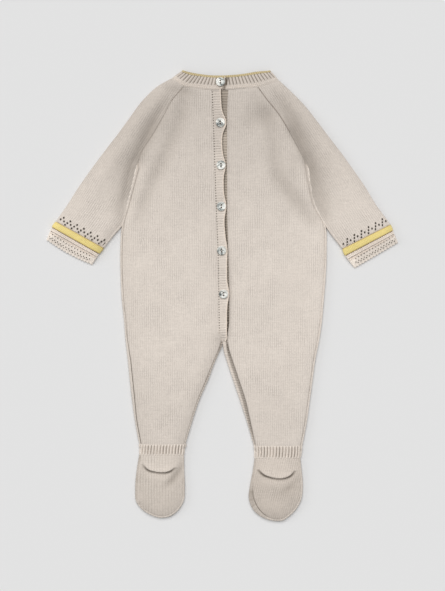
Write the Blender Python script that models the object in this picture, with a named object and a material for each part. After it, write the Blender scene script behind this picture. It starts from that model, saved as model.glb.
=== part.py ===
"""Baby romper in fine cotton knit, laid flat on its front with the buttoned back upwards.

The garment lies along Y with its neck towards +Y and its feet towards -Y. The underside is at z = 0 and
the origin is below the middle of its outline. Every piece of cloth is a closed wall with an outer skin and
an inner skin. A piece is built from stations: one station is a point of the outer skin and the point of
the inner skin behind it. Plan positions in the tables are millimetres.
"""

import math

import bmesh
import bpy
import numpy as np

MM = 0.001

# Cloth, in millimetres
CLOTH = 1.6
SEAM = 0.3
FOLD_RADIUS = 1.3
FOLD_STEPS = 5

# The upper layer swells by this much over the lower one, and reaches that height this far inside the outline
SWELL = 2.6
SWELL_REACH = 24.0

# No trough presses the upper layer further below its height at the outline than this
DEEPEST_LIFT = -0.5

# A fold's outline lies this far outside the line where the cloth turns flat again
FOLD_WIDTH = FOLD_RADIUS + CLOTH / 2

# Heights of the middle of each layer: front on the table, back on it, buttonhole band on that
LOW = CLOTH / 2
HIGH = LOW + 2 * FOLD_RADIUS
BAND = HIGH + CLOTH + SEAM

# A piece that meets a slanting seam stands this far back from it along X or Y
SLANT_SEAM = 0.5

# Colours, as linear red, green and blue
ECRU = (0.66, 0.61, 0.54)
ECRU_RIB = (0.60, 0.55, 0.48)
YELLOW = (0.78, 0.66, 0.22)
PEARL = (0.72, 0.76, 0.72)

# Raglan seams on the back, from neck to armpit
# left x, left y, right x, right y, height at the button placket
BACK_RAGLAN = [
    (-46.8, 250.2, 42.6, 249.6, 246.2),
    (-60.0, 235.2, 54.6, 233.4, 230.0),
    (-70.8, 216.0, 67.2, 217.8, 212.0),
    (-84.6, 192.0, 79.2, 198.6, 193.0),
    (-97.2, 172.2, 90.6, 177.6, 174.0),
    (-100.9, 161.0, 98.9, 161.0, 161.0),
]

# Raglan seams on the front, from neck to armpit
# left x, left y, right x, right y, sag of the row at the middle
FRONT_RAGLAN = [
    (-38.4, 235.2, 37.8, 234.6, 15.5),
    (-52.8, 222.0, 51.0, 222.0, 11.0),
    (-65.4, 207.6, 64.8, 207.6, 7.0),
    (-81.0, 187.8, 79.2, 189.6, 3.0),
    (-95.4, 171.0, 92.4, 171.0, 0.0),
    (-100.9, 161.0, 98.9, 161.0, 0.0),
]

# Outline of the body, from armpit to crotch
# height, left edge, right edge
BODY = [
    (157.0, -101.8, 100.5),
    (134.0, -107.9, 105.2),
    (110.0, -114.2, 110.6),
    (86.0, -120.6, 123.4),
    (54.0, -122.9, 125.2),
    (24.0, -122.6, 124.3),
    (-6.0, -121.0, 121.9),
    (-30.0, -118.4, 119.8),
    (-57.6, -116.2, 115.6),
]

# Outline of each leg, from crotch to ankle
# height, outer edge, inner edge, inner edge of the back panel
LEFT_LEG = [
    (-57.6, -116.2, -0.4, -4.8),
    (-68.0, -115.0, -2.4, -5.4),
    (-78.0, -113.8, -7.3, -9.7),
    (-102.0, -111.4, -17.4, -19.8),
    (-126.0, -108.7, -27.1, -29.5),
    (-150.0, -105.4, -34.9, -37.3),
    (-178.2, -100.3, -43.2, -45.6),
]
RIGHT_LEG = [
    (-57.6, 115.6, 0.4, 6.0),
    (-68.0, 113.4, 2.6, 8.9),
    (-78.0, 111.6, 5.5, 12.0),
    (-102.0, 108.4, 13.2, 19.8),
    (-126.0, 105.1, 20.9, 27.6),
    (-150.0, 101.8, 28.3, 33.4),
    (-180.0, 96.2, 37.2, 39.6),
]
INSEAM_BAND_WIDTH = 10.0
CROTCH_HALF = INSEAM_BAND_WIDTH + SEAM + abs(LEFT_LEG[0][2])

# Outer edge of each sleeve, from neck to cuff, one point for each row of the raglan and body tables
# outer x, outer y
LEFT_SLEEVE_EDGE = [
    (-61.2, 261.0),
    (-78.8, 250.8),
    (-96.2, 234.0),
    (-114.0, 210.0),
    (-128.4, 190.2),
    (-136.5, 180.0),
    (-139.2, 176.4),
    (-157.2, 152.4),
    (-174.0, 128.4),
    (-187.8, 106.8),
]
RIGHT_SLEEVE_EDGE = [
    (67.8, 258.6),
    (81.6, 245.8),
    (97.8, 229.2),
    (114.0, 208.8),
    (128.4, 189.6),
    (138.0, 177.2),
    (141.0, 173.4),
    (154.8, 154.2),
    (170.4, 132.0),
    (184.8, 108.6),
]

# The free end of each sleeve, past the body
# outer x, outer y, inner x, inner y, bow of the row in plan
LEFT_SLEEVE_END = [
    (-195.0, 96.6, -130.8, 70.2, 0.0),
    (-200.0, 89.4, -140.4, 56.6, 0.0),
    (-206.0, 81.0, -147.6, 48.0, 0.0),
    (-211.0, 67.2, -154.2, 36.6, -3.4),
]
RIGHT_SLEEVE_END = [
    (194.4, 95.4, 133.2, 69.6, 0.0),
    (201.6, 85.8, 143.6, 56.6, 0.0),
    (205.4, 76.8, 147.6, 46.2, 0.0),
    (211.0, 63.6, 157.8, 33.0, 1.2),
]

# Collar, from its end on the left of the back, round by the left shoulder, and from the right shoulder on
# neck seam x, neck seam y, top edge x, top edge y
COLLAR_BACK_LEFT = [
    (1.5, 246.2, 1.5, 263.9),
    (-13.8, 246.2, -13.8, 264.2),
    (-30.0, 248.06, -27.0, 265.9),
    (-46.8, 250.2, -38.0, 267.8),
]
LEFT_SHOULDER = (-61.2, 261.0, -47.0, 270.8)
RIGHT_SHOULDER = (67.8, 258.6, 56.4, 270.6)
COLLAR_BACK_RIGHT = [
    (42.6, 249.6, 42.0, 268.9),
    (24.0, 248.02, 24.0, 266.0),
    (7.2, 246.6, 7.2, 264.5),
    (-9.0, 246.6, -9.0, 263.9),
]
COLLAR_FRONT_HEIGHT = 16.0
COLLAR_FRONT_LEAN = 0.45
TIPPING_WIDTH = 2.2
COLLAR_RISE_WIDTH = 20.0

# Left edge of the buttonhole band, where the left back panel ends, and right edge of the button band
# height, left edge, right edge
PLACKET = [
    (246.0, -13.8, 7.2),
    (200.0, -12.0, 7.2),
    (126.0, -9.6, 7.2),
    (48.0, -6.6, 7.2),
    (-57.6, -4.8, 6.0),
]

# Free edge of the buttonhole band: out at each button, in between them
# height, edge
SCALLOP = [
    (245.8, -1.8),
    (207.6, 4.7),
    (182.4, -0.2),
    (156.0, 5.0),
    (127.2, 1.8),
    (106.8, 5.0),
    (78.0, 2.4),
    (54.0, 7.3),
    (30.0, 5.3),
    (1.2, 8.4),
    (-20.4, 6.4),
    (-57.0, 5.4),
]
BUTTON_BAND_EDGE = -4.4
BAND_ROWS = 25
BAND_STEPS = 2

# The left back panel climbs on to the button band in the last part of its width, as this power of the share
# across it, and the climb runs out just below the crotch
BAND_CLIMB_POWER = 6
BAND_CLIMB_AT_LEG_TOP = 0.5

# Largest folds: soft troughs that run down the upper layer from the neck
# x, y, depth
LEFT_SLEEVE_TROUGH = [
    (-68.4, 236.4, 1.6),
    (-86.4, 207.6, 2.8),
    (-103.2, 174.0, 3.0),
    (-116.4, 138.0, 3.0),
    (-121.2, 108.0, 1.2),
]
RIGHT_SLEEVE_TROUGH = [
    (73.2, 237.6, 1.6),
    (90.0, 210.0, 2.8),
    (105.6, 174.0, 3.0),
    (116.4, 138.0, 3.0),
    (121.2, 108.0, 1.2),
]
LEFT_BACK_TROUGH = [
    (-48.0, 243.6, 0.6),
    (-55.2, 216.0, 1.2),
    (-70.8, 174.0, 1.6),
    (-88.8, 132.0, 1.2),
    (-100.8, 108.0, 0.4),
]
RIGHT_BACK_TROUGH = [
    (42.0, 240.0, 0.6),
    (60.0, 204.0, 1.4),
    (73.2, 170.4, 1.6),
    (93.6, 120.0, 1.2),
    (105.6, 96.0, 0.4),
]
SLEEVE_TROUGH_WIDTH = 9.0
BACK_TROUGH_WIDTH = 8.0

# Ankle ribs: top and bottom height, and the outline at the top, middle and bottom
# height, left edge, right edge
LEFT_ANKLE = [
    (-178.6, -100.2, -43.4),
    (-185.0, -99.4, -46.0),
    (-191.0, -100.0, -46.1),
]
RIGHT_ANKLE = [
    (-180.4, 37.4, 96.0),
    (-187.5, 38.8, 94.6),
    (-195.0, 38.4, 93.6),
]

# Outline of each foot, from the ankle's left corner round the toe to its right corner
# x, y, distance of the sole's seam inside the outline
LEFT_FOOT = [
    (-100.2, -191.4, 2.4),
    (-103.2, -210.0, 2.4),
    (-105.0, -232.0, 2.4),
    (-103.6, -248.0, 2.4),
    (-96.0, -257.6, 2.4),
    (-86.0, -263.8, 2.4),
    (-74.4, -267.1, 2.4),
    (-62.0, -264.8, 2.4),
    (-52.8, -257.6, 2.4),
    (-46.2, -246.0, 2.4),
    (-45.2, -232.0, 2.4),
    (-45.8, -210.0, 2.4),
    (-46.1, -191.4, 2.4),
]
RIGHT_FOOT = [
    (38.4, -195.4, 2.4),
    (36.4, -210.0, 2.4),
    (33.0, -228.0, 3.0),
    (31.6, -244.0, 5.4),
    (37.3, -258.0, 6.0),
    (47.0, -266.0, 4.2),
    (60.0, -270.4, 2.4),
    (72.0, -270.4, 2.4),
    (81.6, -265.2, 2.4),
    (89.4, -257.8, 2.4),
    (95.0, -246.0, 2.4),
    (96.6, -228.0, 2.4),
    (95.2, -210.0, 2.4),
    (93.6, -195.4, 2.4),
]

# Rows of a foot, each from one side over its middle line to the other side
# share of the half outline, share of the middle line, height over the swell: up at the heel, down past its lip
FOOT_ROWS = [
    (0.00, 0.00, 0.0),
    (0.08, 0.22, 0.2),
    (0.155, 0.43, 0.3),
    (0.175, 0.47, -1.6),
    (0.32, 0.56, -1.2),
    (0.46, 0.66, -0.7),
    (0.60, 0.76, -0.3),
    (0.74, 0.86, 0.0),
    (0.88, 0.94, 0.0),
    (1.00, 1.00, 0.0),
]
TOE_CENTRE_RISE = 28.0
TANGENT_REACH = 1.0

# Buttons down the back
# x, y
BUTTONS = [
    (-2.6, 255.8),
    (-2.6, 206.9),
    (-1.8, 156.0),
    (-1.4, 106.6),
    (-1.1, 53.8),
    (1.3, 1.7),
]

# Half section of a button: radius and height above its underside
BUTTON_HEIGHT = 2.1
BUTTON_PROFILE = [
    (0.0, 0.0),
    (3.4, 0.0),
    (5.0, 0.5),
    (5.5, 1.1),
    (5.35, 1.8),
    (4.8, BUTTON_HEIGHT),
    (4.1, 1.9),
    (3.4, 1.5),
    (0.0, 1.4),
]
BUTTON_SIDES = 24
BUTTON_HOLE_RADIUS = 0.65
BUTTON_HOLE_SIDES = 8
BUTTON_HOLE_SPACING = 3.0
BUTTON_FLOOR = BAND + CLOTH / 2 + SEAM

# Faces across a piece: half the front, a back panel, a sleeve's upper layer, a layer of a tube, half a foot
TORSO_STEPS = 5
BACK_STEPS = 10
SLEEVE_STEPS = 8
TUBE_STEPS = 4
UPPER_STEPS = 2
SOLE_STEPS = 4

# Samples of a smooth curve between two of its points
PATH_STEPS = 20

SMOOTH_ANGLE = math.radians(40)

# Stations closer than one part in this many of a millimetre are the same one
POINT_GRAIN = 1e5

# A sleeve takes all rows of its edge and the first ones of its end, and the cuff's bands take the rest
CUFF_ROWS = 2


def clear_scene():
    """Remove every object, so that the script starts from an empty scene."""
    for thing in list(bpy.data.objects):
        bpy.data.objects.remove(thing, do_unlink=True)


def make_material(name, colour, roughness):
    """A plain Principled material in the piece's colour."""
    material = bpy.data.materials.new(name)
    material.use_nodes = True
    shader = material.node_tree.nodes["Principled BSDF"]
    shader.inputs["Base Color"].default_value = (*colour, 1.0)
    shader.inputs["Roughness"].default_value = roughness
    shader.inputs["Metallic"].default_value = 0.0
    return material


def plan(x, y):
    """A point or direction in plan."""
    return np.array((x, y), dtype=float)


def unit(vector):
    """The vector at length one."""
    return vector / np.linalg.norm(vector)


def low(point):
    """A station of the layer that lies on the table: outer skin below, inner skin above."""
    return (point[0], point[1], 0.0), (point[0], point[1], CLOTH)


def column(table, number):
    """One column of a table."""
    return [row[number] for row in table]


def columns(table, *numbers):
    """Some columns of a table, as rows."""
    return [tuple(row[number] for number in numbers) for row in table]


def nearest_place(point, line):
    """Distance from a plan point to a line of table rows, and the row at the nearest place of the line."""
    rows = np.array(line, dtype=float)
    starts = rows[:-1]
    runs = rows[1:] - starts
    shares = np.sum((point - starts[:, :2]) * runs[:, :2], axis=1) / np.sum(runs[:, :2] ** 2, axis=1)
    places = starts + runs * np.clip(shares, 0.0, 1.0)[:, np.newaxis]
    distances = np.linalg.norm(places[:, :2] - point, axis=1)
    best = int(np.argmin(distances))
    return distances[best], places[best]


def outlines():
    """The lines where the upper layer comes down: the collar's top edge, and each side of the garment."""
    collar = columns(COLLAR_BACK_LEFT[::-1] + COLLAR_BACK_RIGHT[::-1], 2, 3)
    lines = [[LEFT_SHOULDER[2:], *collar, RIGHT_SHOULDER[2:]]]
    for shoulder, edge, end, body, leg, ankle, foot in (
        (LEFT_SHOULDER, LEFT_SLEEVE_EDGE, LEFT_SLEEVE_END, 1, LEFT_LEG, (1, 2), LEFT_FOOT),
        (RIGHT_SHOULDER, RIGHT_SLEEVE_EDGE, RIGHT_SLEEVE_END, 2, RIGHT_LEG, (2, 1), RIGHT_FOOT),
    ):
        table = LEFT_ANKLE if leg is LEFT_LEG else RIGHT_ANKLE
        outer_ankle, inner_ankle = (columns(table, number, 0) for number in ankle)
        lines.append([shoulder[2:], *edge, *columns(end, 0, 1), *columns(end[::-1], 2, 3)])
        lines.append([*columns(end[:1], 2, 3), *columns(BODY[3::-1], body, 0)])
        lines.append([*columns(BODY, body, 0), *columns(leg[1:], 1, 0), *outer_ankle])
        lines.append([*columns(leg, 2, 0), *inner_ankle])
        lines.append(columns(foot, 0, 1))
    return lines


OUTLINES = outlines()
TROUGHS = [
    (LEFT_SLEEVE_TROUGH, SLEEVE_TROUGH_WIDTH),
    (RIGHT_SLEEVE_TROUGH, SLEEVE_TROUGH_WIDTH),
    (LEFT_BACK_TROUGH, BACK_TROUGH_WIDTH),
    (RIGHT_BACK_TROUGH, BACK_TROUGH_WIDTH),
]


def lift(point):
    """How far the upper layer stands above its height at the outline: its swell, less its troughs."""
    inside = min(nearest_place(point, line)[0] for line in OUTLINES)
    share = min(inside / SWELL_REACH, 1.0)
    height = SWELL * share * share * (3 - 2 * share)
    for trough, width in TROUGHS:
        distance, place = nearest_place(point, trough)
        height -= place[2] * math.exp(-((distance / width) ** 2))
    return max(height, DEEPEST_LIFT)


def high(point, middle=HIGH):
    """A station of an upper layer: outer skin above, inner skin below."""
    top = middle + lift(point) + CLOTH / 2
    return (point[0], point[1], top), (point[0], point[1], top - CLOTH)


def fold(edge, inward, flap=FOLD_WIDTH):
    """Stations round a side fold, from the low layer to the high one, ending flap inside the outline."""
    centre = edge + inward * FOLD_WIDTH
    stations = []
    for step in range(FOLD_STEPS):
        angle = math.pi * (step / FOLD_STEPS - 0.5)
        pair = []
        for radius in (FOLD_RADIUS + CLOTH / 2, FOLD_RADIUS - CLOTH / 2):
            point = centre - inward * radius * math.cos(angle)
            pair.append((point[0], point[1], FOLD_WIDTH + radius * math.sin(angle)))
        stations.append(tuple(pair))
    stations.append(high(edge + inward * max(flap, FOLD_WIDTH)))
    return stations


def span(start, end, steps, bow=0.0):
    """Plan points from start to end, with the middle bowed to the left of that direction."""
    side = unit(end - start)[::-1] * (-1.0, 1.0)
    points = []
    for step in range(steps + 1):
        share = step / steps
        points.append(start + (end - start) * share + side * bow * 4 * share * (1 - share))
    return points


def high_span(start, end, steps, bow=0.0, climb=0.0):
    """Upper stations from start to end, which climb a little further just before the end."""
    stations = []
    for step, point in enumerate(span(start, end, steps, bow)):
        stations.append(high(point, HIGH + climb * (step / steps) ** BAND_CLIMB_POWER))
    return stations


class Cloth:
    """A closed wall of cloth, put together from grids of stations that share their common edges."""

    def __init__(self):
        self.places = {}
        self.stations = []
        self.faces = []

    def place(self, station):
        """The number of a station, the same one for stations at the same place."""
        key = tuple(round(value * POINT_GRAIN) for point in station for value in point)
        if key not in self.places:
            self.places[key] = len(self.stations)
            self.stations.append(station)
        return self.places[key]

    def grid(self, rows):
        """Add the faces between neighbouring rows of stations."""
        numbers = [[self.place(station) for station in row] for row in rows]
        for upper, lower in zip(numbers, numbers[1:]):
            for column in range(len(upper) - 1):
                face = (upper[column], upper[column + 1], lower[column + 1], lower[column])
                if len(set(face)) == 4:
                    self.faces.append(face)
                elif len(set(face)) == 3:
                    self.faces.append(tuple(dict.fromkeys(face)))

    def rim(self):
        """The edges that belong to one face only."""
        uses = {}
        for face in self.faces:
            for start, end in zip(face, face[1:] + face[:1]):
                uses.setdefault(frozenset((start, end)), []).append((start, end))
        return [sides[0] for sides in uses.values() if len(sides) == 1]

    def build(self, name, material):
        """Make the object: both skins, and a wall between them along every rim."""
        count = len(self.stations)
        points = [station[0] for station in self.stations] + [station[1] for station in self.stations]
        faces = list(self.faces)
        faces += [tuple(number + count for number in reversed(face)) for face in self.faces]
        faces += [(end, start, start + count, end + count) for start, end in self.rim()]
        mesh = bpy.data.meshes.new(name)
        mesh.from_pydata([tuple(value * MM for value in point) for point in points], [], faces)
        finish_mesh(mesh)
        return add_object(name, mesh, material)


def finish_mesh(mesh):
    """Turn the faces outwards and shade the mesh smooth, except at its corners."""
    editable = bmesh.new()
    editable.from_mesh(mesh)
    bmesh.ops.recalc_face_normals(editable, faces=editable.faces)
    editable.to_mesh(mesh)
    editable.free()
    mesh.shade_smooth()
    mesh.set_sharp_from_angle(angle=SMOOTH_ANGLE)


def add_object(name, mesh, material):
    """Put a mesh into the scene under its own name."""
    if not mesh.materials:
        mesh.materials.append(material)
    thing = bpy.data.objects.new(name, mesh)
    bpy.context.scene.collection.objects.link(thing)
    return thing


def smooth_path(points):
    """A finely sampled smooth curve through the points, and each sample's distance along it in plan."""
    points = np.array(points, dtype=float)
    ends = np.vstack((2 * points[0] - points[1], points, 2 * points[-1] - points[-2]))
    fine = []
    for before, start, end, after in zip(ends, ends[1:], ends[2:], ends[3:]):
        for t in np.linspace(0, 1, PATH_STEPS, endpoint=False):
            fine.append(
                0.5
                * (
                    2 * start
                    + (end - before) * t
                    + (2 * before - 5 * start + 4 * end - after) * t**2
                    + (3 * start - before - 3 * end + after) * t**3
                )
            )
    fine.append(points[-1])
    fine = np.array(fine)
    steps = np.linalg.norm(np.diff(fine[:, :2], axis=0), axis=1)
    return fine, np.concatenate(((0.0,), np.cumsum(steps)))


def at_distance(fine, distance, wanted):
    """The point of a finely sampled path at a distance along it."""
    return np.array([np.interp(wanted, distance, fine[:, column]) for column in range(fine.shape[1])])


def placket_edge(height, side):
    """Where a back panel ends at the placket: side 1 is the left panel, side 2 the right one."""
    heights = column(PLACKET, 0)[::-1]
    return float(np.interp(height, heights, column(PLACKET, side)[::-1]))


def scallop_edge(height):
    """The free edge of the buttonhole band at a height, eased between the table's turning points."""
    heights = column(SCALLOP, 0)
    for (top, start), (bottom, end) in zip(SCALLOP, SCALLOP[1:]):
        if bottom <= height <= top:
            share = (top - height) / (top - bottom)
            eased = share * share * (3 - 2 * share)
            return start + (end - start) * eased
    return SCALLOP[0][1] if height > heights[0] else SCALLOP[-1][1]


def front_row(left, right, sag=0.0):
    """Twelve plan points across the front: six to the left inseam band's line and six on the right."""
    inner_left = plan(-CROTCH_HALF, left[1])
    inner_right = plan(CROTCH_HALF, right[1])
    rows = []
    for end, points in (
        (left, span(left, inner_left, TORSO_STEPS)),
        (right, span(inner_right, right, TORSO_STEPS)),
    ):
        rows += [point - plan(0, sag * (1 - (point[0] / end[0]) ** 2)) for point in points]
    return rows


def front_neckline():
    """The seam between the front panel and the collar."""
    left_x, left_y, right_x, right_y, sag = FRONT_RAGLAN[0]
    return front_row(plan(left_x, left_y), plan(right_x, right_y), sag)


def build_front(material):
    """The front panel: one piece from the neckline to both ankles, its sides turned up round the back."""
    cloth = Cloth()
    rows = []
    for left_x, left_y, right_x, right_y, sag in FRONT_RAGLAN:
        left = plan(left_x + SLANT_SEAM, left_y)
        right = plan(right_x - SLANT_SEAM, right_y)
        rows.append([low(point) for point in front_row(left, right, sag)])
    rows[0] = [low(point - plan(0, SEAM)) for point in front_neckline()]
    rows[0][0] = low(plan(FRONT_RAGLAN[0][0] + SLANT_SEAM, FRONT_RAGLAN[0][1] - SLANT_SEAM))
    rows[0][-1] = low(plan(FRONT_RAGLAN[0][2] - SLANT_SEAM, FRONT_RAGLAN[0][3] - SLANT_SEAM))
    for height, left_edge, right_edge in BODY:
        left = plan(left_edge + FOLD_WIDTH, height)
        right = plan(right_edge - FOLD_WIDTH, height)
        rows.append([low(point) for point in front_row(left, right)])
    cloth.grid(rows)
    for side, leg in ((1, LEFT_LEG), (-1, RIGHT_LEG)):
        leg_rows = []
        folds = []
        for height, outer, inner, _ in leg:
            start = plan(outer + side * FOLD_WIDTH, height)
            end = plan(inner - side * (INSEAM_BAND_WIDTH + SEAM), height)
            points = span(start, end, TORSO_STEPS) if side == 1 else span(end, start, TORSO_STEPS)
            leg_rows.append([low(point) for point in points])
            folds.append(fold(plan(outer, height), plan(side, 0)))
        for height, left_edge, right_edge in reversed(BODY[:-1]):
            outer = left_edge if side == 1 else right_edge
            folds.insert(0, fold(plan(outer, height), plan(side, 0)))
        cloth.grid(leg_rows)
        cloth.grid(folds)
    return cloth.build("front_panel", material)


def build_back(name, side, material):
    """A back panel, from the collar to the ankle: side 1 is the left one, side -1 the right one."""
    leg = LEFT_LEG if side == 1 else RIGHT_LEG
    edge_column = 1 if side == 1 else 2
    climb = BAND - HIGH if side == 1 else 0.0
    rows = []
    for left_x, left_y, right_x, right_y, centre_y in BACK_RAGLAN:
        seam = plan(left_x, left_y) if side == 1 else plan(right_x, right_y)
        start = seam + plan(side * SLANT_SEAM, 0)
        end = plan(placket_edge(centre_y, edge_column), centre_y)
        rows.append((start, end, climb))
    first_start, first_end, _ = rows[0]
    rows[0] = (first_start - plan(0, SLANT_SEAM), first_end - plan(0, SEAM), climb)
    for height, left_edge, right_edge in BODY:
        outer = left_edge if side == 1 else right_edge
        start = plan(outer + side * (FOLD_WIDTH + SEAM), height)
        rows.append((start, plan(placket_edge(height, edge_column), height), climb))
    climb *= BAND_CLIMB_AT_LEG_TOP
    for height, outer, _, back_edge in leg[1:]:
        start = plan(outer + side * (FOLD_WIDTH + SEAM), height)
        rows.append((start, plan(back_edge, height), climb))
        climb = 0.0
    cloth = Cloth()
    cloth.grid([high_span(start, end, BACK_STEPS, climb=height) for start, end, height in rows])
    return cloth.build(name, material)


def sleeve_rows(side):
    """Each row of a sleeve: outer point, inner point on the back, inner point on the front, and bow."""
    edge = LEFT_SLEEVE_EDGE if side == 1 else RIGHT_SLEEVE_EDGE
    end = LEFT_SLEEVE_END if side == 1 else RIGHT_SLEEVE_END
    rows = []
    for outer, back, front in zip(edge, BACK_RAGLAN, FRONT_RAGLAN):
        at = 0 if side == 1 else 2
        rows.append((plan(*outer), plan(*back[at:at + 2]), plan(*front[at:at + 2]), 0.0))
    for outer, (height, left_edge, right_edge) in zip(edge[len(BACK_RAGLAN):], BODY):
        inner = plan((left_edge if side == 1 else right_edge) - side * SLANT_SEAM, height)
        rows.append((plan(*outer), inner, inner, 0.0))
    for outer_x, outer_y, inner_x, inner_y, bow in end:
        rows.append((plan(outer_x, outer_y), plan(inner_x, inner_y), plan(inner_x, inner_y), bow))
    return rows


def fold_direction(edge, back, front):
    """The direction from a folded edge into the cloth, halfway between its two layers."""
    return unit(unit(back - edge) + unit(front - edge))


def build_sleeve(name, side, material):
    """A raglan sleeve, folded along its outer edge and closed along the underarm below the armpit."""
    rows = sleeve_rows(side)[:-CUFF_ROWS]
    first_outer, first_back, first_front, _ = rows[0]
    drop = unit(rows[1][0] - first_outer) * SLANT_SEAM
    rows[0] = (first_outer + drop, first_back + drop, first_front + drop, 0.0)
    armpit = len(BACK_RAGLAN)
    cloth = Cloth()
    sections = []
    underarm = []
    for number, (outer, back, front, bow) in enumerate(rows):
        inward = fold_direction(outer, back, front)
        centre = outer + inward * FOLD_WIDTH
        if number >= armpit:
            outward = unit(outer - front)
            underarm.append(fold(front, outward))
            front = front + outward * FOLD_WIDTH
            back = back + outward * (FOLD_WIDTH + SEAM)
        upper = high_span(back, centre, SLEEVE_STEPS, bow)
        round_edge = fold(outer, inward)[::-1]
        lower = [low(point) for point in span(centre, front, TUBE_STEPS, -bow)]
        sections.append(upper + round_edge[1:] + lower[1:])
    cloth.grid(sections)
    cloth.grid(underarm)
    return cloth.build(name, material)


def tube_section(start, end, bow=0.0):
    """The closed section of a flattened tube between two outline points."""
    inward = unit(end - start)
    near = start + inward * FOLD_WIDTH
    far = end - inward * FOLD_WIDTH
    section = fold(start, inward)
    section += high_span(near, far, TUBE_STEPS, bow)[1:]
    section += fold(end, -inward)[::-1][1:]
    section += [low(point) for point in span(far, near, TUBE_STEPS, -bow)][1:]
    return section


def build_tube(name, rows, material):
    """A flattened tube through rows of outline points: start, end and bow."""
    cloth = Cloth()
    cloth.grid([tube_section(*row) for row in rows])
    return cloth.build(name, material)


def build_cuff(names, side, materials):
    """The two bands past a sleeve: the coloured welt and the hem beyond it."""
    sleeve_end, welt_end, hem_end = sleeve_rows(side)[-CUFF_ROWS - 1:]
    for name, material, (top, bottom) in zip(
        names, materials, ((sleeve_end, welt_end), (welt_end, hem_end))
    ):
        step = unit(bottom[0] - top[0]) * SEAM
        first = (top[1] + step, top[0] + step, 0.0)
        last = (bottom[1], bottom[0], -bottom[3])
        middle = tuple((a + b) / 2 for a, b in zip(first, last))
        build_tube(name, (first, middle, last), material)


def build_ankle(name, table, material):
    """The ribbed ring between a leg and its foot."""
    rows = [(plan(left, height), plan(right, height), 0.0) for height, left, right in table]
    build_tube(name, rows, material)


def foot_frame(table):
    """The rows of a foot: both outline points with their inward directions and insets, middle, height."""
    fine, distance = smooth_path(table)
    half = distance[-1] / 2
    left_corner = plan(*table[0][:2])
    right_corner = plan(*table[-1][:2])
    toe = fine[int(np.argmin(np.abs(distance - half)))]
    top_middle = (left_corner + right_corner) / 2
    toe_centre = plan(toe[0], toe[1] + TOE_CENTRE_RISE)
    rows = []
    for share, middle_share, height in FOOT_ROWS:
        ends = []
        for wanted, turn in ((share * half, 1), (distance[-1] - share * half, -1)):
            here = at_distance(fine, distance, wanted)
            before = at_distance(fine, distance, max(wanted - TANGENT_REACH, 0.0))
            after = at_distance(fine, distance, min(wanted + TANGENT_REACH, distance[-1]))
            along = unit(after[:2] - before[:2])
            inward = plan(-along[1], along[0])
            if share == 0.0:
                inward = plan(turn, 0)
            ends.append((here[:2], inward, here[2]))
        middle = top_middle + (toe_centre - top_middle) * middle_share
        rows.append((ends[0], middle, ends[1], height))
    return rows


def build_foot_top(name, table, material):
    """The upper of a foot, which lies on the table and turns up all round to the sole's seam."""
    cloth = Cloth()
    rows = foot_frame(table)
    folds = [fold(edge, inward, inset - SEAM) for (edge, inward, inset), _, _, _ in rows]
    folds += [fold(edge, inward, inset - SEAM) for _, _, (edge, inward, inset), _ in rows[-2::-1]]
    flats = []
    for start, middle, end, _ in rows:
        left = start[0] + start[1] * FOLD_WIDTH
        right = end[0] + end[1] * FOLD_WIDTH
        flats.append([low(point) for point in span(left, middle, UPPER_STEPS)])
        flats[-1] += [low(point) for point in span(middle, right, UPPER_STEPS)][1:]
    cloth.grid(folds)
    cloth.grid([row[: UPPER_STEPS + 1] for row in flats])
    cloth.grid([row[UPPER_STEPS:] for row in flats])
    return cloth.build(name, material)


def build_sole(name, table, material):
    """The heel and sole of a foot: the heel's lip stands over the sole along a curved fold."""
    cloth = Cloth()
    rows = []
    for (start, start_in, start_inset), middle, (end, end_in, end_inset), height in foot_frame(table):
        left = start + start_in * start_inset
        right = end + end_in * end_inset
        points = span(left, middle, SOLE_STEPS) + span(middle, right, SOLE_STEPS)[1:]
        row = []
        for number, point in enumerate(points):
            across = number / SOLE_STEPS - 1
            row.append(high(point, HIGH + height * (1 - across**4)))
        rows.append(row)
    cloth.grid([row[: SOLE_STEPS + 1] for row in rows])
    cloth.grid([row[SOLE_STEPS:] for row in rows])
    return cloth.build(name, material)


def collar_path():
    """Stations of the collar's route: neck point, top point, and the two skins' places at that point."""
    route = []

    def add_back(table):
        for neck_x, neck_y, top_x, top_y in table:
            route.append((plan(neck_x, neck_y), plan(top_x, top_y), "high"))

    def add_shoulder(shoulder, back, front):
        neck = plan(*shoulder[:2])
        top = plan(*shoulder[2:])
        neck_in = fold_direction(neck, plan(*back[:2]), front[0])
        top_in = fold_direction(top, plan(*back[2:]), front[1])
        route.append((neck, top, (neck_in, top_in)))

    neckline = front_neckline()
    front = []
    for number, neck in enumerate(neckline):
        share = number / (len(neckline) - 1)
        lean = unit(plan(COLLAR_FRONT_LEAN * (1 - 2 * share), 1.0))
        front.append((neck, neck + lean * COLLAR_FRONT_HEIGHT))
    add_back(COLLAR_BACK_LEFT)
    add_shoulder(LEFT_SHOULDER, COLLAR_BACK_LEFT[-1], front[0])
    route += [(neck, top, "low") for neck, top in front]
    add_shoulder(RIGHT_SHOULDER, COLLAR_BACK_RIGHT[0], front[-1])
    add_back(COLLAR_BACK_RIGHT)
    return route


def collar_rise(number, point):
    """Height of the collar's middle: its left end climbs on to the right one before the placket."""
    if number >= len(COLLAR_BACK_LEFT):
        return HIGH
    share = (point[0] - COLLAR_BACK_LEFT[1][0] + COLLAR_RISE_WIDTH) / COLLAR_RISE_WIDTH
    return HIGH + (BAND - HIGH) * min(max(share, 0.0), 1.0) ** 2


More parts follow.
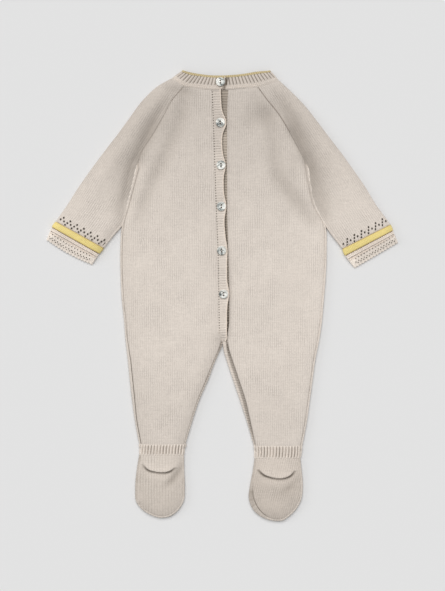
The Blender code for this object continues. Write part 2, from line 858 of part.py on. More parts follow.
def build_collar_strip(name, shares, material):
    """A strip of the collar between two shares of its height, all the way round the neck."""
    route = collar_path()
    folds_from_back = True
    strip = []
    for number, (neck, top, kind) in enumerate(route):
        at = [neck + (top - neck) * share for share in shares]
        if kind == "high":
            strip.append([high(point, collar_rise(number, point)) for point in at])
        elif kind == "low":
            strip.append([low(point) for point in at])
        else:
            neck_in, top_in = kind
            arcs = []
            for point, share in zip(at, shares):
                inward = unit(neck_in + (top_in - neck_in) * min(max(share, 0.0), 1.0))
                arcs.append(fold(point, inward))
            turned = [list(pair) for pair in zip(*arcs)]
            strip += turned[::-1] if folds_from_back else turned
            folds_from_back = False
    cloth = Cloth()
    cloth.grid(strip)
    return cloth.build(name, material)


def build_collar(material, tipping_material):
    """The ribbed collar, and the coloured tipping along its top edge."""
    height = np.linalg.norm(plan(*LEFT_SHOULDER[:2]) - plan(*LEFT_SHOULDER[2:]))
    tipping = 1 - TIPPING_WIDTH / height
    build_collar_strip("collar", (0.0, tipping / 2, tipping - SEAM / height), material)
    build_collar_strip("collar_tipping", (tipping, 1.0), tipping_material)


def build_placket(material):
    """The buttonhole band with its scalloped edge, and the button band under it."""
    heights = np.linspace(SCALLOP[0][0] - SEAM, SCALLOP[-1][0], BAND_ROWS)
    holes = Cloth()
    rows = []
    for height in heights:
        left = plan(placket_edge(height, 1) + SEAM, height)
        right = plan(scallop_edge(height), height)
        rows.append([high(point, BAND) for point in span(left, right, BAND_STEPS)])
    holes.grid(rows)
    holes.build("buttonhole_band", material)
    under = Cloth()
    rows = []
    for height in heights:
        left = plan(BUTTON_BAND_EDGE, height)
        right = plan(placket_edge(height, 2) - SEAM, height)
        rows.append([high(point) for point in span(left, right, BAND_STEPS)])
    under.grid(rows)
    under.build("button_band", material)


def build_inseam_band(name, side, material):
    """The ribbed band along the inside of a leg, folded round the edge between front and back."""
    leg = LEFT_LEG if side == 1 else RIGHT_LEG
    cloth = Cloth()
    rows = []
    for number, (height, _, inner, back_edge) in enumerate(leg):
        if number == 0:
            height -= SEAM
        edge = plan(inner, height)
        inward = plan(-side, 0)
        start = edge + inward * INSEAM_BAND_WIDTH
        flat = [low(point) for point in span(start, edge + inward * FOLD_WIDTH, BAND_STEPS)]
        rows.append(flat + fold(edge, inward, abs(back_edge - inner) - SEAM)[1:])
    cloth.grid(rows)
    return cloth.build(name, material)


def turned_mesh(name, profile, sides):
    """A solid of revolution about Z from a half section that starts and ends on the axis."""
    points = []
    faces = []
    rings = profile[1:-1]
    for radius, height in rings:
        for side in range(sides):
            angle = 2 * math.pi * side / sides
            points.append((radius * math.cos(angle) * MM, radius * math.sin(angle) * MM, height * MM))
    for ring in range(len(rings) - 1):
        for side in range(sides):
            after = (side + 1) % sides
            start = ring * sides
            faces.append((start + side, start + after, start + sides + after, start + sides + side))
    first = len(points)
    points.append((0.0, 0.0, profile[0][1] * MM))
    points.append((0.0, 0.0, profile[-1][1] * MM))
    last_ring = (len(rings) - 1) * sides
    for side in range(sides):
        after = (side + 1) % sides
        faces.append((side, first, after))
        faces.append((last_ring + side, last_ring + after, first + 1))
    mesh = bpy.data.meshes.new(name)
    mesh.from_pydata(points, [], faces)
    finish_mesh(mesh)
    return mesh


def button_mesh(material):
    """A dished button with two sewing holes cut through it."""
    body = add_object("button_blank", turned_mesh("button", BUTTON_PROFILE, BUTTON_SIDES), material)
    reach = BUTTON_HEIGHT * 2
    radius = BUTTON_HOLE_RADIUS
    drill_profile = [(0.0, -reach), (radius, -reach), (radius, reach), (0.0, reach)]
    drills = []
    for side in (-1, 1):
        mesh = turned_mesh("drill", drill_profile, BUTTON_HOLE_SIDES)
        drill = add_object("drill", mesh, material)
        drill.location = (0.0, side * BUTTON_HOLE_SPACING / 2 * MM, 0.0)
        cut = body.modifiers.new("sewing hole", "BOOLEAN")
        cut.operation = "DIFFERENCE"
        cut.solver = "EXACT"
        cut.object = drill
        drills.append(drill)
    bpy.context.view_layer.update()
    evaluated = body.evaluated_get(bpy.context.evaluated_depsgraph_get())
    mesh = bpy.data.meshes.new_from_object(evaluated)
    mesh.name = "button"
    for thing in [body, *drills]:
        bpy.data.objects.remove(thing, do_unlink=True)
    return mesh


def build_buttons(material):
    """Six buttons on the buttonhole band, one of them on the collar's overlap, tilted as the cloth is."""
    mesh = button_mesh(material)
    for number, (x, y) in enumerate(BUTTONS, start=1):
        slope_x, slope_y = (
            (lift(plan(x, y) + step) - lift(plan(x, y) - step)) / (2 * TANGENT_REACH)
            for step in (plan(TANGENT_REACH, 0), plan(0, TANGENT_REACH))
        )
        button = add_object(f"button_{number}", mesh, material)
        button.location = (x * MM, y * MM, (BUTTON_FLOOR + lift(plan(x, y))) * MM)
        button.rotation_euler = (math.atan(slope_y), -math.atan(slope_x), 0.0)


def main():
    clear_scene()
    knit = make_material("ecru knit", ECRU, 0.9)
    rib = make_material("ecru rib", ECRU_RIB, 0.9)
    yellow = make_material("yellow knit", YELLOW, 0.9)
    pearl = make_material("pearl button", PEARL, 0.25)
    build_front(knit)
    build_back("back_panel_left", 1, knit)
    build_back("back_panel_right", -1, knit)
    build_sleeve("sleeve_left", 1, knit)
    build_sleeve("sleeve_right", -1, knit)
    build_collar(rib, yellow)
    build_placket(rib)
    build_inseam_band("inseam_band_left", 1, rib)
    build_inseam_band("inseam_band_right", -1, rib)
    build_cuff(("cuff_welt_left", "cuff_hem_left"), 1, (yellow, knit))
    build_cuff(("cuff_welt_right", "cuff_hem_right"), -1, (yellow, knit))
    build_ankle("ankle_rib_left", LEFT_ANKLE, rib)
    build_ankle("ankle_rib_right", RIGHT_ANKLE, rib)
    build_foot_top("foot_upper_left", LEFT_FOOT, knit)
    build_foot_top("foot_upper_right", RIGHT_FOOT, knit)
    build_sole("foot_sole_left", LEFT_FOOT, knit)
    build_sole("foot_sole_right", RIGHT_FOOT, knit)
    build_buttons(pearl)


main()
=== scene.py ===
# %% [markdown]
# # A knitted baby romper, laid flat
#
# A footed one-piece in fine ecru cotton knit lies on its front with the buttoned back upwards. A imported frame
# gives every piece its place and size. This lesson builds the cloth that shows: each panel is a thin shell over
# its solid, with its folds, ribs, eyelets and edges modelled, and the knit itself is left to the material.
# Lengths are in millimetres until a mesh is made.

# %% Load the frame and note its size
import math

import bmesh
import bpy
import numpy as np
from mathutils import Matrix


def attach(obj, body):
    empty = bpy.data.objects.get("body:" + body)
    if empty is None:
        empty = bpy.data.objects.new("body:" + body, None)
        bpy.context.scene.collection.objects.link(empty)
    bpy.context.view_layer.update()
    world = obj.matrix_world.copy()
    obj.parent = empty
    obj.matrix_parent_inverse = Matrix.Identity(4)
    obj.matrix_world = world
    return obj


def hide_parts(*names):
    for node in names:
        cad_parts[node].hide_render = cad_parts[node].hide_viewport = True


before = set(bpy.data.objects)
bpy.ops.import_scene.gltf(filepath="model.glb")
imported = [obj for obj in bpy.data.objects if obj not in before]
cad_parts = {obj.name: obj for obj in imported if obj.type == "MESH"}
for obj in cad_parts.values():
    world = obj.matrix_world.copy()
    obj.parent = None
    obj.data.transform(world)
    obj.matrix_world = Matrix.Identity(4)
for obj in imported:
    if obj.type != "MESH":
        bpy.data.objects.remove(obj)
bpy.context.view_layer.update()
MM = 0.001

# %% [markdown]
# ## Floor, light and camera
#
# The romper lies on a plain pale table and is seen from straight above. One broad lamp stands high above the neck,
# a weak one stands low on the left and draws the soft shadow along the right of the garment, and an even sky fills
# in. A sun with a wide disc is used for each lamp because it lights the whole table evenly.

# %% Floor
FLOOR_COLOUR = (0.765, 0.765, 0.765)
FLOOR_HALF = 6.0
FLOOR_DROP = 0.0003


def plain_material(name, colour, roughness):
    """A Principled material with one colour all over."""
    material = bpy.data.materials.new(name)
    material.use_nodes = True
    shader = material.node_tree.nodes["Principled BSDF"]
    shader.inputs["Base Color"].default_value = (*colour, 1.0)
    shader.inputs["Roughness"].default_value = roughness
    shader.inputs["Specular IOR Level"].default_value = 0.0
    return material


def make_floor():
    """A large square table top just below the cloth."""
    mesh = bpy.data.meshes.new("floor")
    corners = [(x * FLOOR_HALF, y * FLOOR_HALF, -FLOOR_DROP) for x, y in ((-1, -1), (1, -1), (1, 1), (-1, 1))]
    mesh.from_pydata(corners, [], [(0, 1, 2, 3)])
    mesh.materials.append(plain_material("pale table", FLOOR_COLOUR, 1.0))
    floor = bpy.data.objects.new("floor", mesh)
    bpy.context.scene.collection.objects.link(floor)


make_floor()
print("floor side, metres:", 2 * FLOOR_HALF)

# %% Lights
SKY_STRENGTH = 0.36

# Name, strength, width of the disc and tilts in degrees
SUNS = [("soft sun", 2.0, 50, (-26, -3)), ("side lamp", 0.46, 26, (-14, -62))]


def make_lights():
    """An even sky, one wide soft sun from above, and a weak low one from the left."""
    world = bpy.data.worlds.new("studio sky")
    bpy.context.scene.world = world
    world.use_nodes = True
    background = world.node_tree.nodes["Background"]
    background.inputs["Color"].default_value = (1.0, 1.0, 1.0, 1.0)
    background.inputs["Strength"].default_value = SKY_STRENGTH
    for name, strength, disc, tilt in SUNS:
        lamp = bpy.data.lights.new(name, "SUN")
        lamp.energy = strength
        lamp.angle = math.radians(disc)
        sun = bpy.data.objects.new(name, lamp)
        sun.rotation_euler = (math.radians(tilt[0]), math.radians(tilt[1]), 0.0)
        bpy.context.scene.collection.objects.link(sun)


make_lights()
print("lamps:", [name for name, *_ in SUNS])

# %% Camera
CAMERA_HEIGHT = 2.004
FIELD_HEIGHT = 0.7092
FIELD_LEVEL = 0.005
SENSOR = 36.0


def make_camera():
    """A long lens straight above the middle of the garment, with the neck towards the top of the picture."""
    data = bpy.data.cameras.new("camera")
    data.sensor_width = SENSOR
    data.lens = SENSOR * (CAMERA_HEIGHT - FIELD_LEVEL) / FIELD_HEIGHT
    data.clip_start = 0.05
    data.clip_end = 20.0
    camera = bpy.data.objects.new("camera", data)
    camera.location = (0.0, 0.0, CAMERA_HEIGHT)
    bpy.context.scene.collection.objects.link(camera)
    bpy.context.scene.camera = camera
    bpy.context.scene.view_settings.view_transform = "Standard"
    return camera


camera = make_camera()
print("lens, mm:", round(camera.data.lens, 1))

# %% [markdown]
# ## Smooth lines through a few given rows
#
# Every edge of the garment is a short table of places. A curve object could draw such a line, but here the
# points of two edges have to be joined row by row into a panel, so a small class carries all columns of a table
# along one smooth run and gives them back at any distance.


# %% Runs
class Run:
    """A smooth line through the rows of a table; all its columns are carried along its first two."""

    def __init__(self, table):
        self.rows = np.array(table, dtype=float)
        self.gaps = np.linalg.norm(np.diff(self.rows[:, :2], axis=0), axis=1)
        self.marks = np.concatenate(((0.0,), np.cumsum(self.gaps)))
        self.length = self.marks[-1]
        slopes = np.diff(self.rows, axis=0) / self.gaps[:, None]
        before, after = self.gaps[:-1, None], self.gaps[1:, None]
        inner = (slopes[1:] * before + slopes[:-1] * after) / (before + after)
        self.tangents = np.vstack((slopes[:1], inner, slopes[-1:]))

    def at(self, distances):
        """The rows at some distances along the line."""
        distances = np.asarray(distances, dtype=float)
        piece = np.clip(np.searchsorted(self.marks, distances, "right") - 1, 0, len(self.gaps) - 1)
        gap = self.gaps[piece][..., None]
        t = (distances - self.marks[piece])[..., None] / gap
        start, end = self.rows[piece], self.rows[piece + 1]
        start_slope, end_slope = self.tangents[piece] * gap, self.tangents[piece + 1] * gap
        return (
            (1 + 2 * t) * (1 - t) ** 2 * start
            + t * (1 - t) ** 2 * start_slope
            + t**2 * (3 - 2 * t) * end
            - t**2 * (1 - t) * end_slope
        )

    def every(self, spacing):
        """Rows at even steps, as near to this spacing as fits."""
        count = max(int(round(self.length / spacing)), 1)
        return self.at(np.linspace(0.0, self.length, count + 1))


def column(table, number):
    """One column of a table."""
    return [row[number] for row in table]


def columns(table, *numbers):
    """Some columns of a table, as rows."""
    return [tuple(row[number] for number in numbers) for row in table]


def unit(vectors):
    """Vectors at length one."""
    vectors = np.asarray(vectors, dtype=float)
    return vectors / np.linalg.norm(vectors, axis=-1, keepdims=True)


def ease(value):
    """A smooth step from 0 to 1."""
    value = np.clip(value, 0.0, 1.0)
    return value * value * (3 - 2 * value)


def fade(value, start, end):
    """A smooth step from 0 at the start to 1 at the end."""
    return ease((value - start) / (end - start))


def bell(distance, width):
    """A smooth bump that is 1 at no distance."""
    return np.exp(-((distance / width) ** 2))


def skirt(distance, start, width):
    """1 up to a distance, falling off smoothly past it."""
    return bell(np.maximum(distance - start, 0.0), width)


def stripe(tone, distance, heights):
    """Painted shade along a line, or painted light where its amount is negative: its amount, its width, and pairs of
    heights between which it comes in.
    """
    amount, width, *spans = tone
    shade = amount * bell(distance, width)
    for span in spans:
        shade = shade * fade(heights, *span)
    return shade


def cosine(distance, pitch):
    """Even ribs along a distance, from -1 to 1."""
    return np.cos(2 * math.pi * distance / pitch)


def valleys(wave, power=1.0):
    """How deep between its ribs a wave is, from 0 to 1."""
    return np.clip(-wave, 0.0, 1.0) ** power


def lengths(points):
    """Distance along a line of points."""
    return np.concatenate(((0.0,), np.cumsum(np.linalg.norm(np.diff(points, axis=0), axis=1))))


# %% [markdown]
# ## The cut of the garment
#
# These tables are the pattern: where the raglan seams, the sides, the sleeves, the legs and the feet run. The
# solids in the frame were made from the same places, so a shell built on them lies on its solid.

# %% Pattern tables
# The two sides as the viewer sees them; tables with both are kept by this sign
SIDES = ((1, "left"), (-1, "right"))

# Where a side's first column is in the raglan tables, and its column in those of body, placket and ankle
RAGLAN_AT = {1: 0, -1: 2}
EDGE_AT = {1: 1, -1: 2}

# Raglan seams on the back: left x, left y, right x, right y, height at the placket
BACK_RAGLAN = [
    (-46.8, 250.2, 42.6, 249.6, 246.2), (-60.0, 235.2, 54.6, 233.4, 230.0), (-70.8, 216.0, 67.2, 217.8, 212.0),
    (-84.6, 192.0, 79.2, 198.6, 193.0), (-97.2, 172.2, 90.6, 177.6, 174.0), (-100.9, 161.0, 98.9, 161.0, 161.0),
]

# Raglan seams on the front: left x, left y, right x, right y, sag of the row at the middle
FRONT_RAGLAN = [
    (-38.4, 235.2, 37.8, 234.6, 15.5), (-52.8, 222.0, 51.0, 222.0, 11.0), (-65.4, 207.6, 64.8, 207.6, 7.0),
    (-81.0, 187.8, 79.2, 189.6, 3.0), (-95.4, 171.0, 92.4, 171.0, 0.0), (-100.9, 161.0, 98.9, 161.0, 0.0),
]

# The body from armpit to crotch: height, left edge, right edge
BODY = [
    (157.0, -101.8, 100.5), (134.0, -107.9, 105.2), (110.0, -114.2, 110.6), (86.0, -120.6, 123.4),
    (54.0, -122.9, 125.2), (24.0, -122.6, 124.3), (-6.0, -121.0, 121.9), (-30.0, -118.4, 119.8),
    (-57.6, -116.2, 115.6),
]

# Each leg from crotch to ankle: height, outer edge, inner edge, inner edge of the back panel
LEG = {
    1: [
        (-57.6, -116.2, -0.4, -2.4), (-62.4, -115.6, -1.3, -3.4), (-68.0, -115.0, -4.0, -5.6),
        (-78.0, -113.8, -8.4, -9.9), (-102.0, -111.4, -17.6, -19.6), (-126.0, -108.7, -28.0, -29.5),
        (-150.0, -105.4, -36.0, -37.3), (-178.2, -100.3, -44.4, -45.6),
    ],
    -1: [
        (-57.6, 115.6, -1.2, 6.2), (-62.4, 114.6, 0.9, 7.0), (-68.0, 113.4, 1.9, 8.4),
        (-78.0, 111.6, 4.9, 11.7), (-102.0, 108.4, 12.8, 19.6), (-126.0, 105.1, 20.9, 27.4),
        (-150.0, 101.8, 28.8, 32.8), (-180.0, 96.2, 37.4, 39.6),
    ],
}

# The outer fold of each sleeve, one place for each row of the raglan and of the body down to the elbow
SLEEVE_EDGE = {
    1: [
        (-61.2, 261.0), (-78.8, 250.8), (-96.2, 234.0), (-114.0, 210.0), (-128.4, 190.2), (-136.5, 180.0),
        (-139.2, 176.4), (-157.2, 152.4), (-174.0, 128.4), (-187.8, 106.8),
    ],
    -1: [
        (67.8, 258.6), (81.6, 245.8), (97.8, 229.2), (114.0, 208.8), (128.4, 189.6), (138.0, 177.2),
        (141.0, 173.4), (154.8, 154.2), (170.4, 132.0), (184.8, 108.6),
    ],
}

# The free end of each sleeve, its welt and its hem: outer x, outer y, inner x, inner y, bow of the row
SLEEVE_END = {
    1: [
        (-195.0, 96.6, -131.8, 70.6, 0.0), (-200.0, 89.4, -142.2, 57.4, 0.0), (-206.0, 81.0, -149.0, 48.8, 0.0),
        (-211.0, 68.0, -156.0, 38.0, 2.0),
    ],
    -1: [
        (194.4, 95.4, 133.2, 69.6, 0.0), (201.6, 85.8, 143.6, 56.6, 0.0), (205.4, 76.8, 147.6, 46.2, 0.0),
        (210.4, 65.0, 157.8, 34.2, 0.2),
    ],
}

# Direction of each sleeve, towards its hem
AXIS = {1: np.array([-0.531, -0.847]), -1: np.array([0.531, -0.847])}

# The collar round the back: neck seam x, neck seam y, top edge x, top edge y
COLLAR_BACK = {
    1: [
        (1.5, 246.2, 1.5, 263.9), (-13.8, 246.2, -13.8, 264.2), (-30.0, 248.06, -27.0, 265.9),
        (-46.8, 250.2, -38.0, 267.8),
    ],
    -1: [
        (42.6, 249.6, 42.0, 268.9), (24.0, 248.02, 24.0, 266.0), (7.2, 246.6, 7.2, 264.5),
        (-9.0, 246.6, -9.0, 263.9),
    ],
}
SHOULDER = {1: (-61.2, 261.0, -47.0, 270.8), -1: (67.8, 258.6, 56.4, 270.6)}
COLLAR_FRONT_HEIGHT = 16.0
COLLAR_FRONT_LEAN = 0.45

# The placket: height, left edge of the buttonhole band, right edge of the button band
PLACKET = [
    (246.0, -13.8, 6.8), (226.0, -13.0, 5.6), (200.0, -12.0, 5.2), (126.0, -9.6, 5.5), (72.0, -7.5, 6.0),
    (48.0, -6.6, 7.2), (0.0, -5.8, 8.2), (-30.0, -5.3, 8.0), (-57.6, -4.8, 6.4),
]

# Centres of the buttons
BUTTONS = [(-2.6, 255.8), (-2.6, 206.9), (-1.8, 156.0), (-1.4, 106.6), (-1.1, 53.8), (1.3, 1.7)]

# Height and free edge of the buttonhole band between the buttons
BAND_LINE = [
    (245.8, -2.2), (226.0, -1.4), (182.0, -0.6), (130.0, 1.4), (86.0, 2.2), (62.0, 4.2), (36.0, 5.4),
    (-20.0, 5.4), (-55.4, 5.3),
]

# Height of each place where the edge is held out by a button, and how far
BAND_BUMPS = [(206.9, 5.6), (156.0, 3.3), (106.6, 2.7), (53.8, 1.3), (1.7, 2.6)]

# Ankle ribs: height, left edge, right edge
ANKLE = {
    1: [
        (-178.6, -100.2, -43.4), (-185.0, -99.4, -46.0), (-191.0, -100.0, -46.1),
    ],
    -1: [
        (-180.4, 37.4, 96.0), (-187.5, 38.8, 94.6), (-195.0, 38.4, 93.6),
    ],
}

# Each foot from the ankle's left corner round the toe to its right corner: x, y, inset of the sole's seam
FOOT = {
    1: [
        (-100.2, -191.4, 2.4), (-103.2, -210.0, 2.4), (-105.0, -232.0, 2.4), (-103.6, -248.0, 2.4),
        (-96.0, -257.6, 2.4), (-86.0, -263.8, 2.4), (-74.4, -267.1, 2.4), (-62.0, -264.8, 2.4),
        (-52.8, -257.6, 2.4), (-46.2, -246.0, 2.4), (-45.2, -232.0, 2.4), (-45.8, -210.0, 2.4),
        (-46.1, -191.4, 2.4),
    ],
    -1: [
        (38.4, -195.4, 2.4), (36.4, -210.0, 2.4), (33.0, -228.0, 3.0), (31.6, -244.0, 5.4), (37.3, -258.0, 6.0),
        (47.0, -266.0, 4.2), (60.0, -270.4, 2.4), (72.0, -270.4, 2.4), (80.8, -264.6, 2.4), (88.0, -257.4, 2.4),
        (94.4, -246.0, 2.4), (96.6, -228.0, 2.4), (95.2, -210.0, 2.4), (93.6, -195.4, 2.4),
    ],
}
print("pattern rows:", len(BACK_RAGLAN) + len(BODY) + len(LEG[1]))

# %% [markdown]
# ## How the upper layer lies
#
# The lower layer is flat on the table. The upper one comes down at the outline, stands a few millimetres high
# inside it, and sinks into a few long troughs that the folded garment really has: one down each sleeve beside the
# raglan seam, a shallower one down each side of the back, and short ones at the neck, the right armpit and the
# heels. A cloth simulation would settle somewhere else each time a size changed, so the creases are listed one by
# one, each with its own depth and width, and a little broad unevenness keeps the rest from looking ironed.

# %% Layers and creases
WALL = 1.2
FOLD_REACH = 2.1
TOP = 2 * FOLD_REACH
UPPER_SIDE = TOP * 0.75
BAND_TOP = TOP + 1.9
SWELL = 5.4
SWELL_REACH = 24.0
LOWEST_LIFT = -0.5
HEM_SHARES = (0.2, 0.4, 0.6, 0.8)

# Width, sharpness, and a line of x, y and depth; a ridge is a crease of negative depth
CREASES = {
    "left sleeve ridge": (13.0, 2.0, [
        (-80.0, 240.0, 0.0), (-97.0, 217.0, -1.6), (-125.0, 178.0, -2.6), (-150.0, 138.0, -2.2),
        (-172.0, 100.0, 0.0),
    ]),
    "right sleeve ridge": (13.0, 2.0, [
        (84.0, 238.0, 0.0), (99.0, 216.0, -1.6), (126.0, 178.0, -2.6), (150.0, 138.0, -2.2),
        (170.0, 100.0, 0.0),
    ]),
    "left raglan ridge": (6.0, 2.0, [
        (-52.0, 238.0, -0.6), (-74.0, 206.0, -1.6), (-92.0, 172.0, -1.4), (-104.0, 140.0, 0.0),
    ]),
    "right raglan ridge": (6.0, 2.0, [
        (48.0, 238.0, -0.6), (70.0, 208.0, -1.6), (88.0, 174.0, -1.4), (104.0, 140.0, 0.0),
    ]),
    "left sleeve trough": (9.0, 1.5, [
        (-61.0, 245.0, 1.6), (-70.0, 226.0, 3.4), (-84.0, 203.0, 5.4), (-97.5, 177.0, 4.9),
        (-109.0, 150.0, 4.4), (-115.5, 124.0, 3.8), (-122.0, 100.0, 1.8),
    ]),
    "right sleeve trough": (9.0, 1.5, [
        (66.0, 243.0, 1.6), (76.0, 226.0, 3.4), (87.0, 203.0, 5.4), (98.5, 177.0, 5.0), (110.0, 150.0, 4.7),
        (117.0, 122.0, 4.2), (122.0, 98.0, 2.4),
    ]),
    "left back trough": (9.5, 1.8, [
        (-44.0, 243.0, 1.4), (-49.0, 216.0, 2.6), (-64.0, 178.0, 2.4), (-84.0, 138.0, 2.6), (-97.0, 108.0, 2.4),
        (-101.0, 90.0, 1.6), (-103.0, 76.0, 0.2),
    ]),
    "right back trough": (9.5, 1.8, [
        (42.0, 240.0, 0.8), (55.0, 214.0, 2.2), (62.0, 184.0, 1.8), (63.0, 160.0, 2.2), (69.0, 141.0, 3.0),
        (82.5, 122.0, 3.2), (95.5, 106.5, 3.0), (108.0, 92.0, 2.0),
    ]),
    "right armpit trough": (6.5, 2.0, [
        (80.0, 174.0, 0.2), (85.5, 160.0, 1.3), (88.0, 147.0, 1.2), (90.0, 135.0, 0.2),
    ]),
    "neck trough": (6.0, 2.0, [
        (-68.0, 251.0, 0.6), (-56.0, 246.0, 2.4), (-44.0, 243.5, 2.0), (-34.0, 243.0, 0.4),
    ]),
    "yoke dip": (12.0, 2.0, [
        (64.0, 226.0, 0.4), (48.0, 216.0, 1.8), (34.0, 209.0, 1.6), (20.0, 205.0, 0.3),
    ]),
    "left sole crease": (4.0, 1.8, [
        (-48.6, -205.5, 0.9), (-54.0, -213.5, 1.5), (-60.5, -221.5, 1.5), (-69.0, -229.0, 0.4),
    ]),
    "right sole crease": (4.5, 1.8, [
        (90.0, -222.0, 0.4), (80.0, -231.0, 0.9), (66.0, -240.0, 0.2),
    ]),
}

# Broad unevenness: wavelength, direction in degrees, phase, height
WAVES = [
    (61.0, 12.0, 0.4, 0.16), (47.0, 74.0, 2.1, 0.13), (83.0, 128.0, 4.0, 0.20), (34.0, 35.0, 1.3, 0.07),
    (29.0, 155.0, 5.2, 0.06),
]


def nearest_row(places, table):
    """Distance from each place to a line of table rows, and the rows at the nearest places."""
    rows = np.array(table, dtype=float)
    starts = rows[:-1]
    runs = rows[1:] - starts
    flat = places.reshape(-1, 1, 2)
    shares = np.sum((flat - starts[:, :2]) * runs[:, :2], axis=-1) / np.sum(runs[:, :2] ** 2, axis=-1)
    shares = np.clip(shares, 0.0, 1.0)
    gaps = np.linalg.norm(starts[:, :2] + runs[:, :2] * shares[..., None] - flat, axis=-1)
    best = np.argmin(gaps, axis=-1)
    index = np.arange(len(best))
    nearest = starts[best] + runs[best] * shares[index, best][:, None]
    return gaps[index, best].reshape(places.shape[:-1]), nearest.reshape(*places.shape[:-1], rows.shape[1])


def outlines():
    """The lines where the upper layer comes down: the collar's top edge, and each side of the garment."""
    collar = columns(COLLAR_BACK[1][::-1] + COLLAR_BACK[-1][::-1], 2, 3)
    lines = [[SHOULDER[1][2:], *collar, SHOULDER[-1][2:]]]
    for side, _ in SIDES:
        end, leg, ankle = SLEEVE_END[side], LEG[side], ANKLE[side]
        outer, inner = EDGE_AT[side], EDGE_AT[-side]
        hem = np.array(end[-1])
        bowed = [tuple(hem[:2] + (hem[2:4] - hem[:2]) * t + AXIS[side] * hem[4] * 4 * t * (1 - t)) for t in HEM_SHARES]
        lines.append([SHOULDER[side][2:], *SLEEVE_EDGE[side], *columns(end, 0, 1), *bowed, *columns(end[::-1], 2, 3)])
        lines.append([*columns(end[:1], 2, 3), *columns(BODY[3::-1], outer, 0)])
        lines.append([*columns(BODY, outer, 0), *columns(leg[1:], 1, 0), *columns(ankle, outer, 0)])
        lines.append([*columns(leg, 2, 0), *columns(ankle, inner, 0)])
        lines.append(columns(FOOT[side], 0, 1))
    return lines


OUTLINES = outlines()


def lift(places):
    """How far the upper layer stands above its height at the outline."""
    places = np.asarray(places, dtype=float)
    inside = np.min([nearest_row(places, line)[0] for line in OUTLINES], axis=0)
    rise = 1 - (1 - np.minimum(inside / SWELL_REACH, 1.0)) ** 3
    height = SWELL * rise
    for length, degrees, phase, size in WAVES:
        heading = math.radians(degrees)
        along = places[..., 0] * math.cos(heading) + places[..., 1] * math.sin(heading)
        height = height + size * rise * np.sin(2 * math.pi * along / length + phase)
    for width, sharpness, line in CREASES.values():
        distance, row = nearest_row(places, line)
        height = height - row[..., 2] * np.exp(-((distance / width) ** sharpness))
    return np.maximum(height, LOWEST_LIFT)


def hollows(points):
    """How deep in a trough each point of a grid lies, from 0 to 1."""
    depth = np.zeros(points.shape[:-1])
    for width, sharpness, line in CREASES.values():
        distance, row = nearest_row(points[..., :2], line)
        depth = depth + np.maximum(row[..., 2], 0.0) / 6.0 * np.exp(-((distance / (width * 1.1)) ** 2))
    return np.where(points[..., 2] > TOP * 0.6, np.clip(depth, 0.0, 1.0), 0.0)


print("swell in the middle of the back, mm:", round(float(lift((0.0, 50.0))), 2))

# %% [markdown]
# ## Making a panel
#
# A panel is a grid of points with its flat pattern as the UV map, in metres. The pattern map serves twice: the
# knit is drawn on it, so the rows of stitches follow the cloth, and the cut size of the piece is read from it.
# Faces are left out where an eyelet is pierced. A Solidify modifier then gives the shell its wall, and the
# result is kept as a plain mesh.

# %% Grid tools
EDGE_STEPS = np.array([0.0, 0.35, 0.75, 1.25, 1.9])
FOLD_CELLS = 7
TUCK_DEPTH = 0.6
TUCK_WIDTH = 1.6


def spread(widths, cells, far=True):
    """Distances across each row: fine steps at a sewn edge, and even cells between."""
    widths = np.asarray(widths, dtype=float)[:, None]
    first = EDGE_STEPS[-1]
    last = first if far else 0.0
    inner = first + (widths - first - last) * np.linspace(0.0, 1.0, cells + 1)
    parts = [np.broadcast_to(EDGE_STEPS[:-1], (len(widths), len(EDGE_STEPS) - 1)), inner]
    if far:
        parts.append(widths - EDGE_STEPS[-2::-1])
    return np.hstack(parts)


def tuck(distance):
    """How far the cloth turns down at a seam."""
    return TUCK_DEPTH * np.clip(1.0 - distance / TUCK_WIDTH, 0.0, 1.0) ** 2


def with_height(places, height):
    """Places on the table with their heights as a third column."""
    return np.concatenate((places, np.broadcast_to(height, places.shape[:-1])[..., None]), axis=-1)


def upper_sheet(start, end, cells, far):
    """Points of an upper layer between two edges, and the distance of each from both edges."""
    widths = np.linalg.norm(end - start, axis=1)
    distance = spread(widths, cells, far > 0)
    share = (distance / widths[:, None])[..., None]
    places = start[:, None] + (end - start)[:, None] * share
    height = TOP + lift(places) - tuck(distance) - far * tuck(widths[:, None] - distance)
    return with_height(places, height), distance, share[..., 0]


def fold_arc(edge, inward, reach=FOLD_REACH, peak=None):
    """Points round a folded edge, from the lower layer up to the upper one."""
    angles = np.radians(np.linspace(-90.0, 90.0, FOLD_CELLS + 1))
    reach = np.broadcast_to(reach, len(edge))[:, None, None]
    centre = (edge + inward * reach[:, 0])[:, None]
    places = centre - inward[:, None] * reach * np.cos(angles)[None, :, None]
    peak = TOP + lift(centre[:, 0]) if peak is None else peak
    return with_height(places, peak[:, None] / 2 * (1 + np.sin(angles)))


def lower_sheet(start, end, cells):
    """Points of the layer that lies on the table."""
    share = np.linspace(0.0, 1.0, cells + 1)[None, :, None]
    return with_height(start[:, None] + (end - start)[:, None] * share, 0.0)


def side_by_side(*parts):
    """Grids joined along their common columns."""
    return np.concatenate([parts[0], *(part[:, 1:] for part in parts[1:])], axis=1)


def girth(points):
    """Distance along each row of a grid."""
    steps = np.linalg.norm(np.diff(points, axis=1), axis=-1)
    return np.concatenate((np.zeros((len(points), 1)), np.cumsum(steps, axis=1)), axis=1)


def emboss(points, amount, closed=False):
    """Move the points of a grid along its outward normal, which looks up on the top layer."""
    around = np.concatenate((points[:, -2:-1], points, points[:, 1:2]), axis=1) if closed else points
    across = np.gradient(around, axis=1)
    along = np.gradient(around, axis=0)
    normal = unit(np.cross(across, along))
    if closed:
        normal = normal[:, 1:-1]
    top = np.unravel_index(np.argmax(points[..., 2]), points.shape[:2])
    return points + normal * np.sign(normal[top][2]) * amount[..., None]


